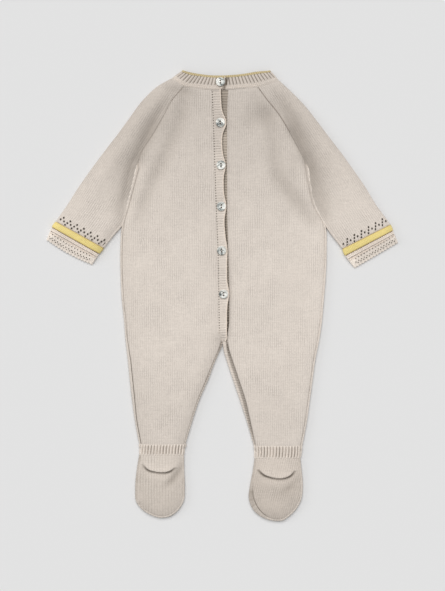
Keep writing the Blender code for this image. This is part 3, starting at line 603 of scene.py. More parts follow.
# %% Piercing
def pierce(points, centres, radii):
    """Open round eyelets in a grid: which faces to leave out, with the points round each hole drawn into shape."""
    gone = np.zeros((points.shape[0] - 1, points.shape[1] - 1), dtype=bool)
    moved = points.copy()
    for centre in centres:
        gap = np.linalg.norm(points[..., :2] - centre, axis=-1)
        middle = points[np.unravel_index(np.argmin(gap), gap.shape)][:2]
        offset = points[..., :2] - middle
        ring = np.sqrt((offset[..., 0] / radii[0]) ** 2 + (offset[..., 1] / radii[1]) ** 2)
        face = (ring[:-1, :-1] + ring[1:, :-1] + ring[:-1, 1:] + ring[1:, 1:]) / 4
        hole = face < 1.0
        gone |= hole
        rim = np.zeros_like(ring, dtype=bool)
        for rows, cols in ((slice(0, -1), slice(0, -1)), (slice(1, None), slice(0, -1)),
                           (slice(0, -1), slice(1, None)), (slice(1, None), slice(1, None))):
            rim[rows, cols] |= hole
        drawn = rim & (ring > 0.3)
        moved[drawn, :2] = middle + offset[drawn] / ring[drawn][:, None]
    return moved, gone


def rings(points, centre, radii):
    """Distance of each point of a grid from the centre of a hole, in the hole's radii."""
    return np.linalg.norm((points[..., :2] - centre) / radii, axis=-1)


# %% From grid to shell
SMOOTH_ANGLE = math.radians(50)
MERGE = 1e-7
TABLE_LAYER = 0.5


def add_object(name, mesh):
    """Link a mesh under its own name."""
    thing = bpy.data.objects.new(name, mesh)
    bpy.context.scene.collection.objects.link(thing)
    return thing


def settle(thing):
    """Keep the evaluated shape of an object as its plain mesh, without modifiers."""
    evaluated = thing.evaluated_get(bpy.context.evaluated_depsgraph_get())
    mesh = bpy.data.meshes.new_from_object(evaluated)
    old = thing.data
    thing.modifiers.clear()
    thing.data = mesh
    bpy.data.meshes.remove(old)
    mesh.name = thing.name


def make_cloth(name, material, *grids):
    """A piece of cloth from grids of (points, pattern, faces to leave out, painted shade), thickened inwards."""
    points, pattern, faces, shade = [], [], [], []
    count = 0
    for grid in grids:
        place, flat = grid[:2]
        place[..., 2] = np.maximum(place[..., 2], 0.0)
        rows, cols = place.shape[:2]
        number = count + np.arange(rows * cols).reshape(rows, cols)
        quads = np.stack((number[:-1, :-1], number[:-1, 1:], number[1:, 1:], number[1:, :-1]), axis=-1)
        kept = quads[~grid[2]] if len(grid) > 2 and grid[2] is not None else quads.reshape(-1, 4)
        top = np.unravel_index(np.argmax(place[:-1, :-1, 2]), (rows - 1, cols - 1))
        corner = [place.reshape(-1, 3)[index - count] for index in quads[top]]
        facing = np.cross(corner[1] - corner[0], corner[3] - corner[0])[2]
        on_table = np.max(place[..., 2]) < TABLE_LAYER
        faces.append(kept if (facing > 0) != on_table else kept[:, ::-1])
        depth = grid[3] if len(grid) > 3 else 0.0
        shade.append(np.broadcast_to(depth, (rows, cols)).reshape(-1))
        points.append(place.reshape(-1, 3) * MM)
        pattern.append(flat.reshape(-1, 2) * MM)
        count += rows * cols
    points, pattern, faces = np.vstack(points), np.vstack(pattern), np.vstack(faces)
    mesh = bpy.data.meshes.new(name)
    mesh.from_pydata(points, [], faces)
    # Painted shade on each point, which paints light where it is negative
    painted_shade = mesh.attributes.new("painted_shade", "FLOAT", "POINT")
    painted_shade.data.foreach_set("value", np.concatenate(shade).astype(np.float32))
    layer = mesh.uv_layers.new(name="pattern")
    layer.data.foreach_set("uv", pattern[faces.reshape(-1)].astype(np.float32).ravel())
    editable = bmesh.new()
    editable.from_mesh(mesh)
    bmesh.ops.remove_doubles(editable, verts=editable.verts, dist=MERGE)
    loose = [vertex for vertex in editable.verts if not vertex.link_faces]
    bmesh.ops.delete(editable, geom=loose, context="VERTS")
    editable.to_mesh(mesh)
    editable.free()
    mesh.shade_smooth()
    mesh.materials.append(material)
    thing = add_object(name, mesh)
    cut = pattern_size(mesh)
    shell = thing.modifiers.new("wall", "SOLIDIFY")
    shell.thickness = WALL * MM
    shell.offset = -1.0
    settle(thing)
    thing.data.set_sharp_from_angle(angle=SMOOTH_ANGLE)
    return thing, cut


def pattern_size(mesh):
    """Width, length and area of a piece's flat pattern, in metres."""
    layer = np.zeros(len(mesh.loops) * 2, dtype=np.float32)
    mesh.uv_layers["pattern"].data.foreach_get("uv", layer)
    corners = layer.reshape(-1, 2).astype(float)
    starts = np.array([face.loop_start for face in mesh.polygons])
    sizes = np.array([face.loop_total for face in mesh.polygons])
    area = 0.0
    for size in np.unique(sizes):
        first = starts[sizes == size]
        ring = corners[first[:, None] + np.arange(size)]
        after = np.roll(ring, -1, axis=1)
        area += np.sum(np.abs(np.sum(ring[..., 0] * after[..., 1] - ring[..., 1] * after[..., 0], axis=1))) / 2
    width, length = np.ptp(corners, axis=0)
    return float(width), float(length), float(area)


def show_for(thing, node):
    """Let a piece ride with the garment and stand for a solid, whose part is hidden."""
    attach(thing, "root")
    if node:
        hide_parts(node)
    return thing


def dress(made, node, turned_in=0.0):
    """Set a piece of cloth in place of the solid it stands for, and print its cut, with what its seams turn in."""
    thing, (width, length, area) = made
    show_for(thing, node)
    length += turned_in * MM
    area = min(area + width * turned_in * MM, width * length)
    size = f"{width * 1000:.0f} x {length * 1000:.0f} mm, {area * 1e4:.0f} cm2"
    print(thing.name, "cut", size, "faces", len(thing.data.polygons))


def dress_both(make, name, node, turned_in=0.0):
    for side, label in SIDES:
        dress(make(name.format(label), side), node.format(label), turned_in)


# %% [markdown]
# ## Knit materials
#
# The knit's colour is painted darker near the neck, as painted shade, and a little darker towards the ankles, so
# the tone follows the distance from the neck.
#
# Plain knit is columns of small V shapes. Modelling every stitch would take millions of faces, and an image of
# knitting would smear, so the stitch is drawn with a few math nodes on the pattern map: the distance from the
# middle of a column gives the two strands, and the height along it, leaning with that distance, gives the V. The
# same number paints shade into the gaps between strands, raises the bump, and is broken up by soft noise so that
# no two stitches match.


# %% Node helpers
def put(socket, value, links):
    """Link an output to a socket, or set the socket's own value."""
    if isinstance(value, bpy.types.NodeSocket):
        links.new(value, socket)
    else:
        socket.default_value = value


def node(tree, kind, inputs=(), **settings):
    """A node with its settings, each of its named inputs linked or set."""
    made = tree.nodes.new(kind)
    for key, value in settings.items():
        setattr(made, key, value)
    for key, value in dict(inputs).items():
        put(made.inputs[key], value, tree.links)
    return made


def calc(tree, operation, *values):
    """The result of a math node with these inputs."""
    return node(tree, "ShaderNodeMath", enumerate(values), operation=operation).outputs[0]


def scaled(tree, vector, factor):
    """A vector or a colour times a number."""
    return node(tree, "ShaderNodeVectorMath", {0: vector, "Scale": factor}, operation="SCALE").outputs["Vector"]


def blend_colour(tree, factor, first, second, clamp=True):
    """The result of a colour mix node."""
    inputs = {"Factor": factor, "A": first, "B": second}
    return node(tree, "ShaderNodeMix", inputs, data_type="RGBA", clamp_factor=clamp).outputs["Result"]


def cloud(tree, vector, scale, detail=2.0, distortion=0.0):
    """A noise value."""
    inputs = {"Vector": vector, "Scale": scale, "Detail": detail, "Distortion": distortion}
    return node(tree, "ShaderNodeTexNoise", inputs).outputs["Fac"]


def attribute(tree, name):
    """A number kept on the points of a mesh."""
    return node(tree, "ShaderNodeAttribute", attribute_name=name).outputs["Fac"]


def new_material(name):
    """A new material, its node tree, and the place on the object to draw it by."""
    material = bpy.data.materials.new(name)
    material.use_nodes = True
    tree = material.node_tree
    return material, tree, node(tree, "ShaderNodeTexCoord").outputs["Object"]


def finish(tree, colour, relief, strength, depth, looks):
    """Give a material its colour, a bump as strong and deep (in millimetres) as stated, and its other looks."""
    bump = node(tree, "ShaderNodeBump", {"Strength": strength, "Distance": depth * MM, "Height": relief})
    shader = tree.nodes["Principled BSDF"]
    for label, value in {"Base Color": colour, "Normal": bump.outputs["Normal"], **looks}.items():
        put(shader.inputs[label], value, tree.links)


# %% Knit finish
STITCH_LEAN = 0.55
YOKE_HEIGHT = 250.0

# Painted shade by distance from the neck, darker near it, and darker again towards the ankles: start, end, tone before
# and after
NECK_SHADE_AND_ANKLE_FADES = [(0.0, 230.0, 0.83, 1.0), (310.0, 425.0, 1.0, 0.93)]
CENTRE_DIP = 0.35
DIP_POWER = 3.0
GROOVE_POWER = 2.6
MEAN_STITCH = 0.5
STITCH_TONE = 1.05
KNIT_BUMP = 0.9
KNIT_RELIEF = 0.5

# Fluff: scale of its noise, share and offset in the tone, share in the relief
FIBRE_SCALE = 1400.0
FIBRE_TONE = (0.35, -0.12)
FIBRE_RELIEF = 0.5

# How clearly the stitches show from place to place: scale of the noise, its factor and offset
CLEAR_SCALE = 55.0
CLEAR_SPAN = (2.0, -0.4)
COTTON = {"Roughness": 0.92, "Specular IOR Level": 0.2, "Sheen Weight": 0.15, "Sheen Roughness": 0.5}

# Uneven yarn: scale of the noise, its stretch, weight
YARN_NOISE = [
    (25.0, (1.0, 1.0, 1.0), 0.04),
    (160.0, (1.0, 1.0, 1.0), 0.05),
    (600.0, (1.0, 1.0, 1.0), 0.30),
    (600.0, (0.14, 1.0, 1.0), 0.16),
    (600.0, (1.0, 0.14, 1.0), 0.12),
]

# How far the columns of stitches wander: scale of the noise, size
WALE_DRIFT = [(70.0, 2.2), (400.0, 1.1)]


def stitch_height(tree, place, wale, course):
    """Height of the V-shaped stitch: a deep line between columns, a shallow one down each column's middle."""

    def do(operation, *values):
        return calc(tree, operation, *values)

    pattern = node(tree, "ShaderNodeUVMap", uv_map="pattern").outputs["UV"]
    parts = node(tree, "ShaderNodeSeparateXYZ", {"Vector": pattern}).outputs
    across = parts["X"]
    for scale, size in WALE_DRIFT:
        across = do("MULTIPLY_ADD", do("SUBTRACT", cloud(tree, place, scale), 0.5), size * MM, across)
    column_place = do("FRACT", do("MULTIPLY", across, 1 / (wale * MM)))
    off_centre = do("MULTIPLY", do("ABSOLUTE", do("SUBTRACT", column_place, 0.5)), 2.0)
    groove = do("POWER", off_centre, GROOVE_POWER)
    dip = do("MULTIPLY", do("POWER", do("SUBTRACT", 1.0, off_centre), DIP_POWER), CENTRE_DIP)
    strand = do("SUBTRACT", do("SUBTRACT", 1.0, groove), dip)
    along = do("MULTIPLY", parts["Y"], 1 / (course * MM))
    leaning = do("FRACT", do("ADD", along, do("MULTIPLY", off_centre, STITCH_LEAN)))
    loop = do("SINE", do("MULTIPLY", leaning, math.pi))
    stitch = do("MULTIPLY", strand, do("MULTIPLY_ADD", loop, 0.5, 0.5))
    clear = do("MULTIPLY_ADD", cloud(tree, place, CLEAR_SCALE, 1.0), *CLEAR_SPAN)
    return do("MULTIPLY_ADD", do("SUBTRACT", stitch, MEAN_STITCH), clear, MEAN_STITCH)


def knit_material(name, yarn, gap, wale=2.6, course=1.9, painted_shade=(0.11, 0.085, 0.06)):
    """Matt cotton knit: yarn colour on the strands, gap colour between them as painted shade, and painted shade from a
    point attribute, which paints light where it is negative.
    """
    material, tree, place = new_material(name)
    height = stitch_height(tree, place, wale, course)
    fibre = cloud(tree, place, FIBRE_SCALE, 3.0)
    uneven = 0.0
    for scale, stretch, weight in YARN_NOISE:
        slub = node(tree, "ShaderNodeVectorMath", {0: place, 1: stretch}, operation="MULTIPLY").outputs["Vector"]
        uneven = calc(tree, "MULTIPLY_ADD", cloud(tree, slub, scale), weight, uneven)
    fluff = calc(tree, "MULTIPLY_ADD", fibre, *FIBRE_TONE)
    mixed = calc(tree, "ADD", calc(tree, "MULTIPLY", height, STITCH_TONE), fluff)
    tone = calc(tree, "MULTIPLY_ADD", uneven, -1.0, 1.0 + sum(weight for _, _, weight in YARN_NOISE) / 2)
    # Painted shade in the gaps between strands, times the yarn's own uneven tone
    shaded_yarn = scaled(tree, blend_colour(tree, mixed, (*gap, 1.0), (*yarn, 1.0)), tone)
    neck = (0.0, YOKE_HEIGHT * MM, 0.0)
    away = node(tree, "ShaderNodeVectorMath", {0: place, 1: neck}, operation="DISTANCE").outputs["Value"]
    # Painted shade near the neck, and darker towards the ankles
    for start, end, before, after in NECK_SHADE_AND_ANKLE_FADES:
        span = {"Value": away, "From Min": start * MM, "From Max": end * MM, "To Min": before, "To Max": after}
        dim = node(tree, "ShaderNodeMapRange", span, interpolation_type="SMOOTHSTEP").outputs["Result"]
        shaded_yarn = scaled(tree, shaded_yarn, dim)
    # Painted shade from the shade attribute on the points: mixed towards the shade colour, or past the yarn as painted
    # light
    with_painted_shade = blend_colour(tree, attribute(tree, "painted_shade"), shaded_yarn, (*painted_shade, 1.0), clamp=False)
    raised = calc(tree, "ADD", height, calc(tree, "MULTIPLY", fibre, FIBRE_RELIEF))
    finish(tree, with_painted_shade, raised, KNIT_BUMP, KNIT_RELIEF, COTTON)
    return material


RIB = (2.0, 1.5)
ECRU = knit_material("ecru knit", (0.83, 0.752, 0.684), (0.568, 0.505, 0.438))
ECRU_RIB = knit_material("ecru rib", (0.89, 0.805, 0.725), (0.60, 0.525, 0.455), *RIB)
# A paler copy of the rib for the lace hem: partly the lace's own paler cream, partly painted light
PALE_LIT_LACE_KNIT = knit_material("pale lit lace knit", (0.96, 0.875, 0.79), (0.68, 0.59, 0.50), *RIB)
# A darker copy of the rib: painted shade on the button band, which lies under the buttonhole band
SHADED_UNDER_RIB = knit_material("shaded rib", (0.93, 0.82, 0.70), (0.51, 0.43, 0.35), *RIB, (0.09, 0.07, 0.05))
SOLE_KNIT = knit_material("sole knit", (0.84, 0.76, 0.685), (0.57, 0.50, 0.43), 3.4)
FINE_SOLE_KNIT = knit_material("fine sole knit", (0.84, 0.755, 0.675), (0.54, 0.47, 0.405))
YELLOW = knit_material("yellow knit", (0.94, 0.79, 0.33), (0.67, 0.51, 0.17), 1.8, 2.2, (0.42, 0.25, 0.07))
TIPPING = knit_material("yellow tipping", (0.82, 0.68, 0.39), (0.50, 0.41, 0.23), 2.2, 1.6, (0.30, 0.22, 0.12))
print("knit materials:", sum("knit" in item.name or "rib" in item.name for item in bpy.data.materials))

# %% [markdown]
# ## The back panels
#
# The back is two panels, left and right, from the collar to the ankles, with the placket between them. Each is
# one smooth sheet: a row runs from the raglan or side seam to the placket, and the rows follow both edges down.
# The knit's columns stay upright on them, as they are in a panel knitted from the hem up.

# %% Back panels
SEAM_HALF = 0.03
SEAM_LINE_INSET = 0.3
SEAM_LINE_WIDTH = 0.7
SIDE_GAP = 0.05
BACK_ROW = 3.0
BACK_CELLS = 42
BAND_CLIMB_POWER = 6
CROTCH_CLIMB = 0.25
PLACKET_TUCK = 0.35
BAND_BUMP_REACH = 10.5
# Painted shade in the back's troughs
BACK_TROUGH_SHADE = 0.46
ARMPIT = BACK_RAGLAN[-1][1]
ARMPIT_EASE = 9.0

# Shade of the seam line down the outer edge: heights, and shade there for each side
OUTER_SEAM_HEIGHTS = (ARMPIT + 30.0, ARMPIT - 4.0, ARMPIT - 12.0, -40.0, -80.0)
OUTER_SEAM_SHADE = {1: (0.3, 0.0, 0.3, 0.3, 0.85), -1: (0.45, 0.0, 0.1, 0.1, 0.4)}

# Painted light and shade along the outer edge: that on the hips, and the painted light that the edge catches below the
# armpit
OUTER_EDGE_LIGHT_AND_SHADE = {
    1: ((0.07, 13.0, (115.0, 55.0)), (-0.08, 9.0, (172.0, 158.0), (82.0, 112.0))),
    -1: ((-0.13, 13.0, (115.0, 55.0)), (-0.14, 9.0, (172.0, 158.0), (82.0, 112.0))),
}

# Shade of the seam line down the inner edge of a leg: amount, width and where it starts, then its share by height
INSEAM_LINE = (0.75, 0.9, (-56.0, -59.0))
INSEAM_SHARE_HEIGHTS = (-178.0, -158.0)
INSEAM_SHARE = {1: (1.1, 1.0), -1: (0.4, 1.0)}

# Painted shade beside the placket: on the left along the seam, on the right the shadow of the band's edge from the
# opening (heights and shades)
LEFT_PLACKET_SHADE = (0.06, 14.0, (130.0, 80.0))
PLACKET_SHADE = ((-57.0, -30.0, 10.0, 30.0, 90.0), (0.05, 0.25, 0.35, 0.2, 0.1))
PLACKET_SHADE_WIDTH = 1.7
PLACKET_ENDS = (-57.0, 246.0)

# Heights where the side seam turns further on to the back, and how far
SEAM_TURN = {1: ((-150.0, -118.0, -78.0, -50.0), (0.0, 1.2, 1.1, 0.0)), -1: ((0.0,), (0.0,))}


def side_reach(heights, side):
    """Reach of the body's side fold, which starts from nothing at the armpit."""
    return (FOLD_REACH + np.interp(heights, *SEAM_TURN[side])) * fade(heights, ARMPIT, ARMPIT - ARMPIT_EASE)


def placket_edge(height, side):
    """Where a panel ends at the placket: side 1 is the buttonhole band's, side 2 the button band's."""
    return np.interp(height, column(PLACKET, 0)[::-1], column(PLACKET, side)[::-1])


def scallop_edge(heights):
    """The free edge of the buttonhole band at some heights."""
    edge = np.interp(heights, column(BAND_LINE, 0)[::-1], column(BAND_LINE, 1)[::-1])
    return edge + sum(bump * bell(heights - height, BAND_BUMP_REACH) for height, bump in BAND_BUMPS)


def back_rows(side):
    """Rows of a back panel: outer x and y, inner x and y, and the climb on to the button band."""
    at, edge, leg = RAGLAN_AT[side], EDGE_AT[side], LEG[side]
    climb = BAND_TOP - TOP if side == 1 else 0.0
    rows = []
    for row in BACK_RAGLAN:
        rows.append((row[at] + side * SEAM_HALF, row[at + 1], placket_edge(row[4], edge), row[4], climb))
    rows[0] = (rows[0][0], rows[0][1] - SEAM_HALF, rows[0][2], rows[0][3] - SEAM_HALF, climb)
    for row in BODY:
        rows.append((row[edge], row[0], placket_edge(row[0], edge), row[0], climb))
    rows[-1] = (*rows[-1][:2], leg[0][3], BODY[-1][0], climb * CROTCH_CLIMB)
    for height, outer, _, inner in leg[1:]:
        rows.append((outer, height, inner, height, 0.0))
    return rows


def make_back(name, side):
    """A back panel: side 1 is the left one, side -1 the right one."""
    rows = Run(back_rows(side)).every(BACK_ROW)
    rows[:, 0] += side * np.where(rows[:, 1] < ARMPIT, side_reach(rows[:, 1], side) + SIDE_GAP, 0.0)
    points, distance, share = upper_sheet(rows[:, 0:2], rows[:, 2:4], BACK_CELLS, PLACKET_TUCK)
    points[..., 2] += rows[:, 4:5] * share**BAND_CLIMB_POWER
    ends = np.minimum(rows[0, 1] - rows[:, 1], rows[:, 1] - rows[-1, 1])
    points[..., 2] -= tuck(ends)[:, None] * np.where(rows[:, 1:2] > 0, 1.0, 0.3)
    heights = points[..., 1]
    # Painted shade in the troughs and along the seam lines, painted light and shade along the outer edge, and painted
    # shade beside the placket
    dark = BACK_TROUGH_SHADE * hollows(points)
    seam = np.interp(-heights, np.negative(OUTER_SEAM_HEIGHTS), OUTER_SEAM_SHADE[side])
    dark += seam * bell(distance - SEAM_LINE_INSET, SEAM_LINE_WIDTH)
    dark += sum(stripe(tone, distance, heights) for tone in OUTER_EDGE_LIGHT_AND_SHADE[side])
    inner_gap = np.linalg.norm(rows[:, 2:4] - rows[:, 0:2], axis=1)[:, None] - distance
    dark += stripe(INSEAM_LINE, inner_gap, heights) * np.interp(heights, INSEAM_SHARE_HEIGHTS, INSEAM_SHARE[side])
    if side == 1:
        dark += stripe(LEFT_PLACKET_SHADE, inner_gap, heights) * (heights > PLACKET_ENDS[0])
    else:
        opening = np.maximum(scallop_edge(heights) + 0.5, placket_edge(heights, 2))
        beside = (heights > PLACKET_ENDS[0]) & (heights < PLACKET_ENDS[1])
        dark += np.interp(heights, *PLACKET_SHADE) * skirt(points[..., 0], opening, PLACKET_SHADE_WIDTH) * beside
    return make_cloth(name, ECRU, (points, points[..., :2], None, np.clip(dark, -0.3, 1.0)))


dress_both(make_back, "back_{}", "back_panel_{}")

# %% [markdown]
# ## The front panel
#
# The front is one piece and lies on the table. Its two sides are folded up round the edge of the garment, so a
# narrow strip of it shows beyond the back panels with the side seam just inside the outline. It is built as
# the flat part and the two turned-up sides, which share their points.

# %% Front panel
INSEAM_BAND = 10.0
INSEAM_GAP = 0.3
CROTCH_HALF = INSEAM_BAND + INSEAM_GAP + 0.4
FRONT_ROW = 4.0
FRONT_CELLS = 16
YOKE_CELLS = 32
# The inseam bands start this far above the legs' top
INSEAM_START = 3.0
# Painted shade on the turned-up edge, or painted light where negative, at the armpit and further down
RIM_LIGHT_AND_SHADE = {1: (0.16, 0.03), -1: (0.10, -0.24)}


def front_outline(side):
    """The turned-up edge of the front from armpit to ankle: edge x, height and the leg's inner edge x."""
    rows = [(BACK_RAGLAN[-1][RAGLAN_AT[side]], ARMPIT, -side * CROTCH_HALF)]
    rows += [(row[EDGE_AT[side]], row[0], -side * CROTCH_HALF) for row in BODY[:-1]]
    rows += [(row[1], row[0], row[2] - side * (INSEAM_BAND + INSEAM_GAP)) for row in LEG[side]]
    return rows


def make_front():
    """The front panel: its yoke, its two halves below the armpits and its two turned-up sides."""
    grids = []
    heights = np.linspace(ARMPIT, BODY[-1][0] + INSEAM_START + INSEAM_GAP, 60)
    middle = []
    for side in (1, -1):
        rows = Run(front_outline(side)).every(FRONT_ROW)
        inner = column(front_outline(side), 2)
        levels = [-height for height in column(front_outline(side), 1)]
        rows[:, 2] = np.interp(-rows[:, 1], levels, inner)
        middle.append(np.column_stack((np.interp(-heights, levels, inner), heights)))
        inward = np.tile((float(side), 0.0), (len(rows), 1))
        reach = side_reach(rows[:, 1], side)
        arc = fold_arc(rows[:, :2], inward, reach=reach)
        flat = lower_sheet(rows[:, :2] + inward * reach[:, None], rows[:, [2, 1]], FRONT_CELLS)
        sheet = side_by_side(arc[:, ::-1], flat)
        pattern = np.stack((rows[:, :1] + side * girth(sheet), np.broadcast_to(rows[:, 1:2], sheet.shape[:2])), -1)
        # Painted shade or painted light on the turned-up edge, by height
        first, last = RIM_LIGHT_AND_SHADE[side]
        tone = first + (last - first) * fade(rows[:, 1:2], 115.0, 55.0)
        grids.append((sheet, pattern, None, tone * ease(sheet[..., 2] / 2.0)))
    strip = lower_sheet(*middle, 4)
    grids.append((strip, strip[..., :2]))
    share = np.linspace(0.0, 1.0, YOKE_CELLS + 1)
    yoke = []
    for left, left_y, right, right_y, sag in Run(FRONT_RAGLAN).every(FRONT_ROW):
        across = np.interp(share, (0.0, 1.0), (left + SEAM_HALF, right - SEAM_HALF))
        height = left_y + (right_y - left_y) * share - sag * (1 - (2 * share - 1) ** 2)
        yoke.append(np.column_stack((across, height, np.zeros_like(share))))
    yoke = np.array(yoke)
    grids.append((yoke, yoke[..., :2]))
    return make_cloth("front", ECRU, *grids)


dress(make_front(), "front_panel")

# %% [markdown]
# ## Raglan sleeves with an eyelet border
#
# A sleeve is one piece of knit, folded along its outer edge: its two edges meet the back and front raglan seams,
# and below the armpit they are joined under the arm. So each row of the grid is a section: across the top, round
# the fold and back underneath. The eyelets are knitted in columns of three with a single one between, so they
# are placed by counting along the cuff, and the rows there are fine enough to open real holes.

# %% Sleeves
SLEEVE_ROW = 3.2
SLEEVE_FINE_ROW = 0.62
EYELET_ZONE = 45.0
SLEEVE_CELLS = 108
UNDERARM_INSET = 1.6
UNDERARM_EASE = 10.0
EYELET = (0.85, 1.15)
EYELET_RIM = 0.22
EYELET_SHADE = 0.85
SLEEVE_SHADE = 0.30
# Painted light on the underarm fold
UNDERARM_LIGHT = {1: -0.28, -1: -0.14}

# Painted shade on a sleeve: along its outer fold, along its inner seam, beside that at some distance, and on the upper
# arm
OUTER_FOLD_SHADE = {1: (0.09, 12.0), -1: (0.0, 12.0)}
INNER_TONE = {1: (0.16, 8.0, (70.0, 130.0), (215.0, 190.0)), -1: (0.25, 8.0, (70.0, 130.0), (215.0, 190.0))}
BESIDE_SEAM_SHADE = (0.07, 11.0, (85.0, 115.0), (190.0, 150.0))
BESIDE_AT = 20.0
UPPER_ARM_SHADE = {1: (0.09, 1.0, (110.0, 200.0), (252.0, 228.0)), -1: (0.08, 1.0, (110.0, 200.0), (252.0, 228.0))}

# Eyelets of each cuff: first column of three (x, y), step to the next column, number of columns, offsets of a
# column's lower holes, first single hole, step to the next one, number of singles
EYELETS = {
    1: ((-190.3, 93.1), (8.12, -4.45), 7, ((0.4, -4.3), (1.6, -8.5)), (-194.0, 91.2), (8.15, -4.45), 7),
    -1: ((149.5, 67.6), (8.42, 4.75), 6, ((0.0, -3.7), (0.0, -7.3)), (144.9, 61.6), (8.5, 4.62), 7),
}


def eyelet_places(pattern):
    """Centres of the eyelets of one cuff."""
    first, step, count, below, single, single_step, singles = pattern
    places = []
    for number in range(count):
        top = np.add(first, np.multiply(step, number))
        places += [top, *(top + offset for offset in below)]
    places += [np.add(single, np.multiply(single_step, number)) for number in range(singles)]
    return places


def sleeve_table(side):
    """Rows of a sleeve: outer fold, back seam and front seam, each as x and y."""
    edge, end, at, body = SLEEVE_EDGE[side], SLEEVE_END[side], RAGLAN_AT[side], EDGE_AT[side]
    rows = []
    for outer, back, front_row in zip(edge, BACK_RAGLAN, FRONT_RAGLAN):
        rows.append((*outer, *back[at : at + 2], *front_row[at : at + 2]))
    for outer, row in zip(edge[len(BACK_RAGLAN) :], BODY):
        inner = (row[body] + side * min(UNDERARM_INSET, (ARMPIT - row[0]) * 0.05), row[0])
        rows.append((*outer, *inner, *inner))
    rows += [(row[0], row[1], row[2], row[3], row[2], row[3]) for row in end[:2]]
    return rows


def sleeve_sections(side):
    """Points and pattern of a sleeve: its open wrap, and the underarm fold below the armpit."""
    run = Run(sleeve_table(side))
    coarse = np.arange(0.0, run.length - EYELET_ZONE, SLEEVE_ROW)
    fine = np.linspace(run.length - EYELET_ZONE, run.length, int(EYELET_ZONE / SLEEVE_FINE_ROW) + 1)
    stations = np.concatenate((coarse, fine))
    armpit = run.marks[len(BACK_RAGLAN) - 1]
    stations[np.argmin(np.abs(stations - armpit))] = armpit
    rows = run.at(stations)
    outer, back, under = rows[:, 0:2], rows[:, 2:4], rows[:, 4:6]
    closed = ease((stations - armpit) / UNDERARM_EASE)[:, None]
    inward = unit(unit(back - outer) + unit(under - outer))
    outward = unit(outer - under)
    reach = FOLD_REACH * closed
    start = back + outward * reach
    middle = outer + inward * FOLD_REACH
    upper, distance, _ = upper_sheet(start, middle, SLEEVE_CELLS, 0.0)
    upper[..., 2] += tuck(distance) * closed
    ends = np.minimum(stations, stations[-1] - stations)
    upper[..., 2] -= tuck(ends)[:, None]
    arc = fold_arc(outer, inward, peak=upper[:, -1, 2])[:, ::-1]
    lower = lower_sheet(middle, under + outward * reach, SLEEVE_CELLS)
    wrap = side_by_side(upper, arc, lower)
    underarm = fold_arc(under, outward, reach=reach[:, 0], peak=upper[:, 0, 2])
    underarm = underarm[stations >= armpit - 1e-9]
    axis = AXIS[side]
    across = axis[::-1] * (side, -side)
    first = wrap[:, :1, :2] @ across
    pattern = np.stack((first + girth(wrap), wrap[..., :2] @ -axis), axis=-1)
    under_first = first[stations >= armpit - 1e-9]
    under_girth = girth(underarm)
    back_round = under_first + under_girth - under_girth[:, -1:]
    under_pattern = np.stack((back_round, underarm[..., :2] @ -axis), axis=-1)
    # Painted shade along the inner seam, beside it, on the upper arm and along the outer fold
    shade = np.zeros(wrap.shape[:2])
    seam = stripe(INNER_TONE[side], distance, upper[..., 1]) * (0.75 + 0.25 * closed)
    shade[:, : distance.shape[1]] = seam + stripe(BESIDE_SEAM_SHADE, distance - BESIDE_AT, upper[..., 1])
    shade += stripe(UPPER_ARM_SHADE[side], 0.0, wrap[..., 1])
    beyond = nearest_row(wrap[..., :2], outer)[0]
    shade += stripe(OUTER_FOLD_SHADE[side], beyond, 0.0) * (wrap[..., 2] > 1.0)
    return wrap, pattern, underarm, under_pattern, shade


def make_sleeve(name, side):
    """A sleeve with its eyelets: side 1 is the left one, side -1 the right one."""
    wrap, pattern, underarm, under_pattern, shade = sleeve_sections(side)
    centres = eyelet_places(EYELETS[side])
    wrap, gone = pierce(wrap, centres, EYELET)
    top = wrap[..., 2] > UPPER_SIDE
    # Painted shade in the troughs and in each eyelet
    dark = SLEEVE_SHADE * hollows(wrap) + shade
    for centre in centres:
        ring = rings(wrap, centre, EYELET)
        wrap[..., 2] += np.where(top, EYELET_RIM * bell(ring - 1.45, 0.4), 0.0)
        dark = np.maximum(dark, EYELET_SHADE * skirt(ring, 1.0, 0.25))
    # Painted light on the underarm fold
    under_dark = np.full(underarm.shape[:2], UNDERARM_LIGHT[side])
    return make_cloth(name, ECRU, (wrap, pattern, gone, dark), (underarm, under_pattern, None, under_dark))


dress_both(make_sleeve, "raglan_sleeve_{}", "sleeve_{}")

# %% [markdown]
# ## Flattened tubes
#
# The cuffs and the ankle ribs are rings of cloth pressed flat. Each is a closed grid: round one fold, across the
# top, round the other fold and back along the table. The ribs are pushed out along the surface by a cosine of the
# distance round the ring, which fades out where the ring closes, so they also run round the folds and underneath.

# %% Tube sections
TUBE_TUCK = 0.2


def tube_sections(start, end, cells, along, bow=None, sewn=(True, True)):
    """A flattened tube through rows of outline points, and how far each point of it is across the top."""
    inward = unit(end - start)
    shares = np.linspace(0.0, 1.0, cells + 1)
    near, far = start + inward * FOLD_REACH, end - inward * FOLD_REACH
    bend = 0.0 if bow is None else bow[:, None] * (4 * shares * (1 - shares))[None, :, None]
    places = near[:, None] + (far - near)[:, None] * shares[None, :, None]
    upper = with_height(places + bend, TOP + lift(places + bend))
    lower = with_height((places - bend)[:, ::-1], 0.0)
    for used, gap in zip(sewn, (along, along[-1] - along)):
        upper[..., 2] -= TUBE_TUCK * tuck(gap)[:, None] * used
    rise = fold_arc(start, inward, peak=upper[:, 0, 2])
    fall = fold_arc(end, -inward, peak=upper[:, -1, 2])[:, ::-1]
    return side_by_side(rise, upper, fall, lower)


def ring_pattern(points, along):
    """Pattern of a tube: distance round it, and distance along it."""
    around = girth(points)
    around = around * (np.mean(around[:, -1]) / around[:, -1:])
    return np.stack((around, np.broadcast_to(-along[:, None], around.shape)), axis=-1)


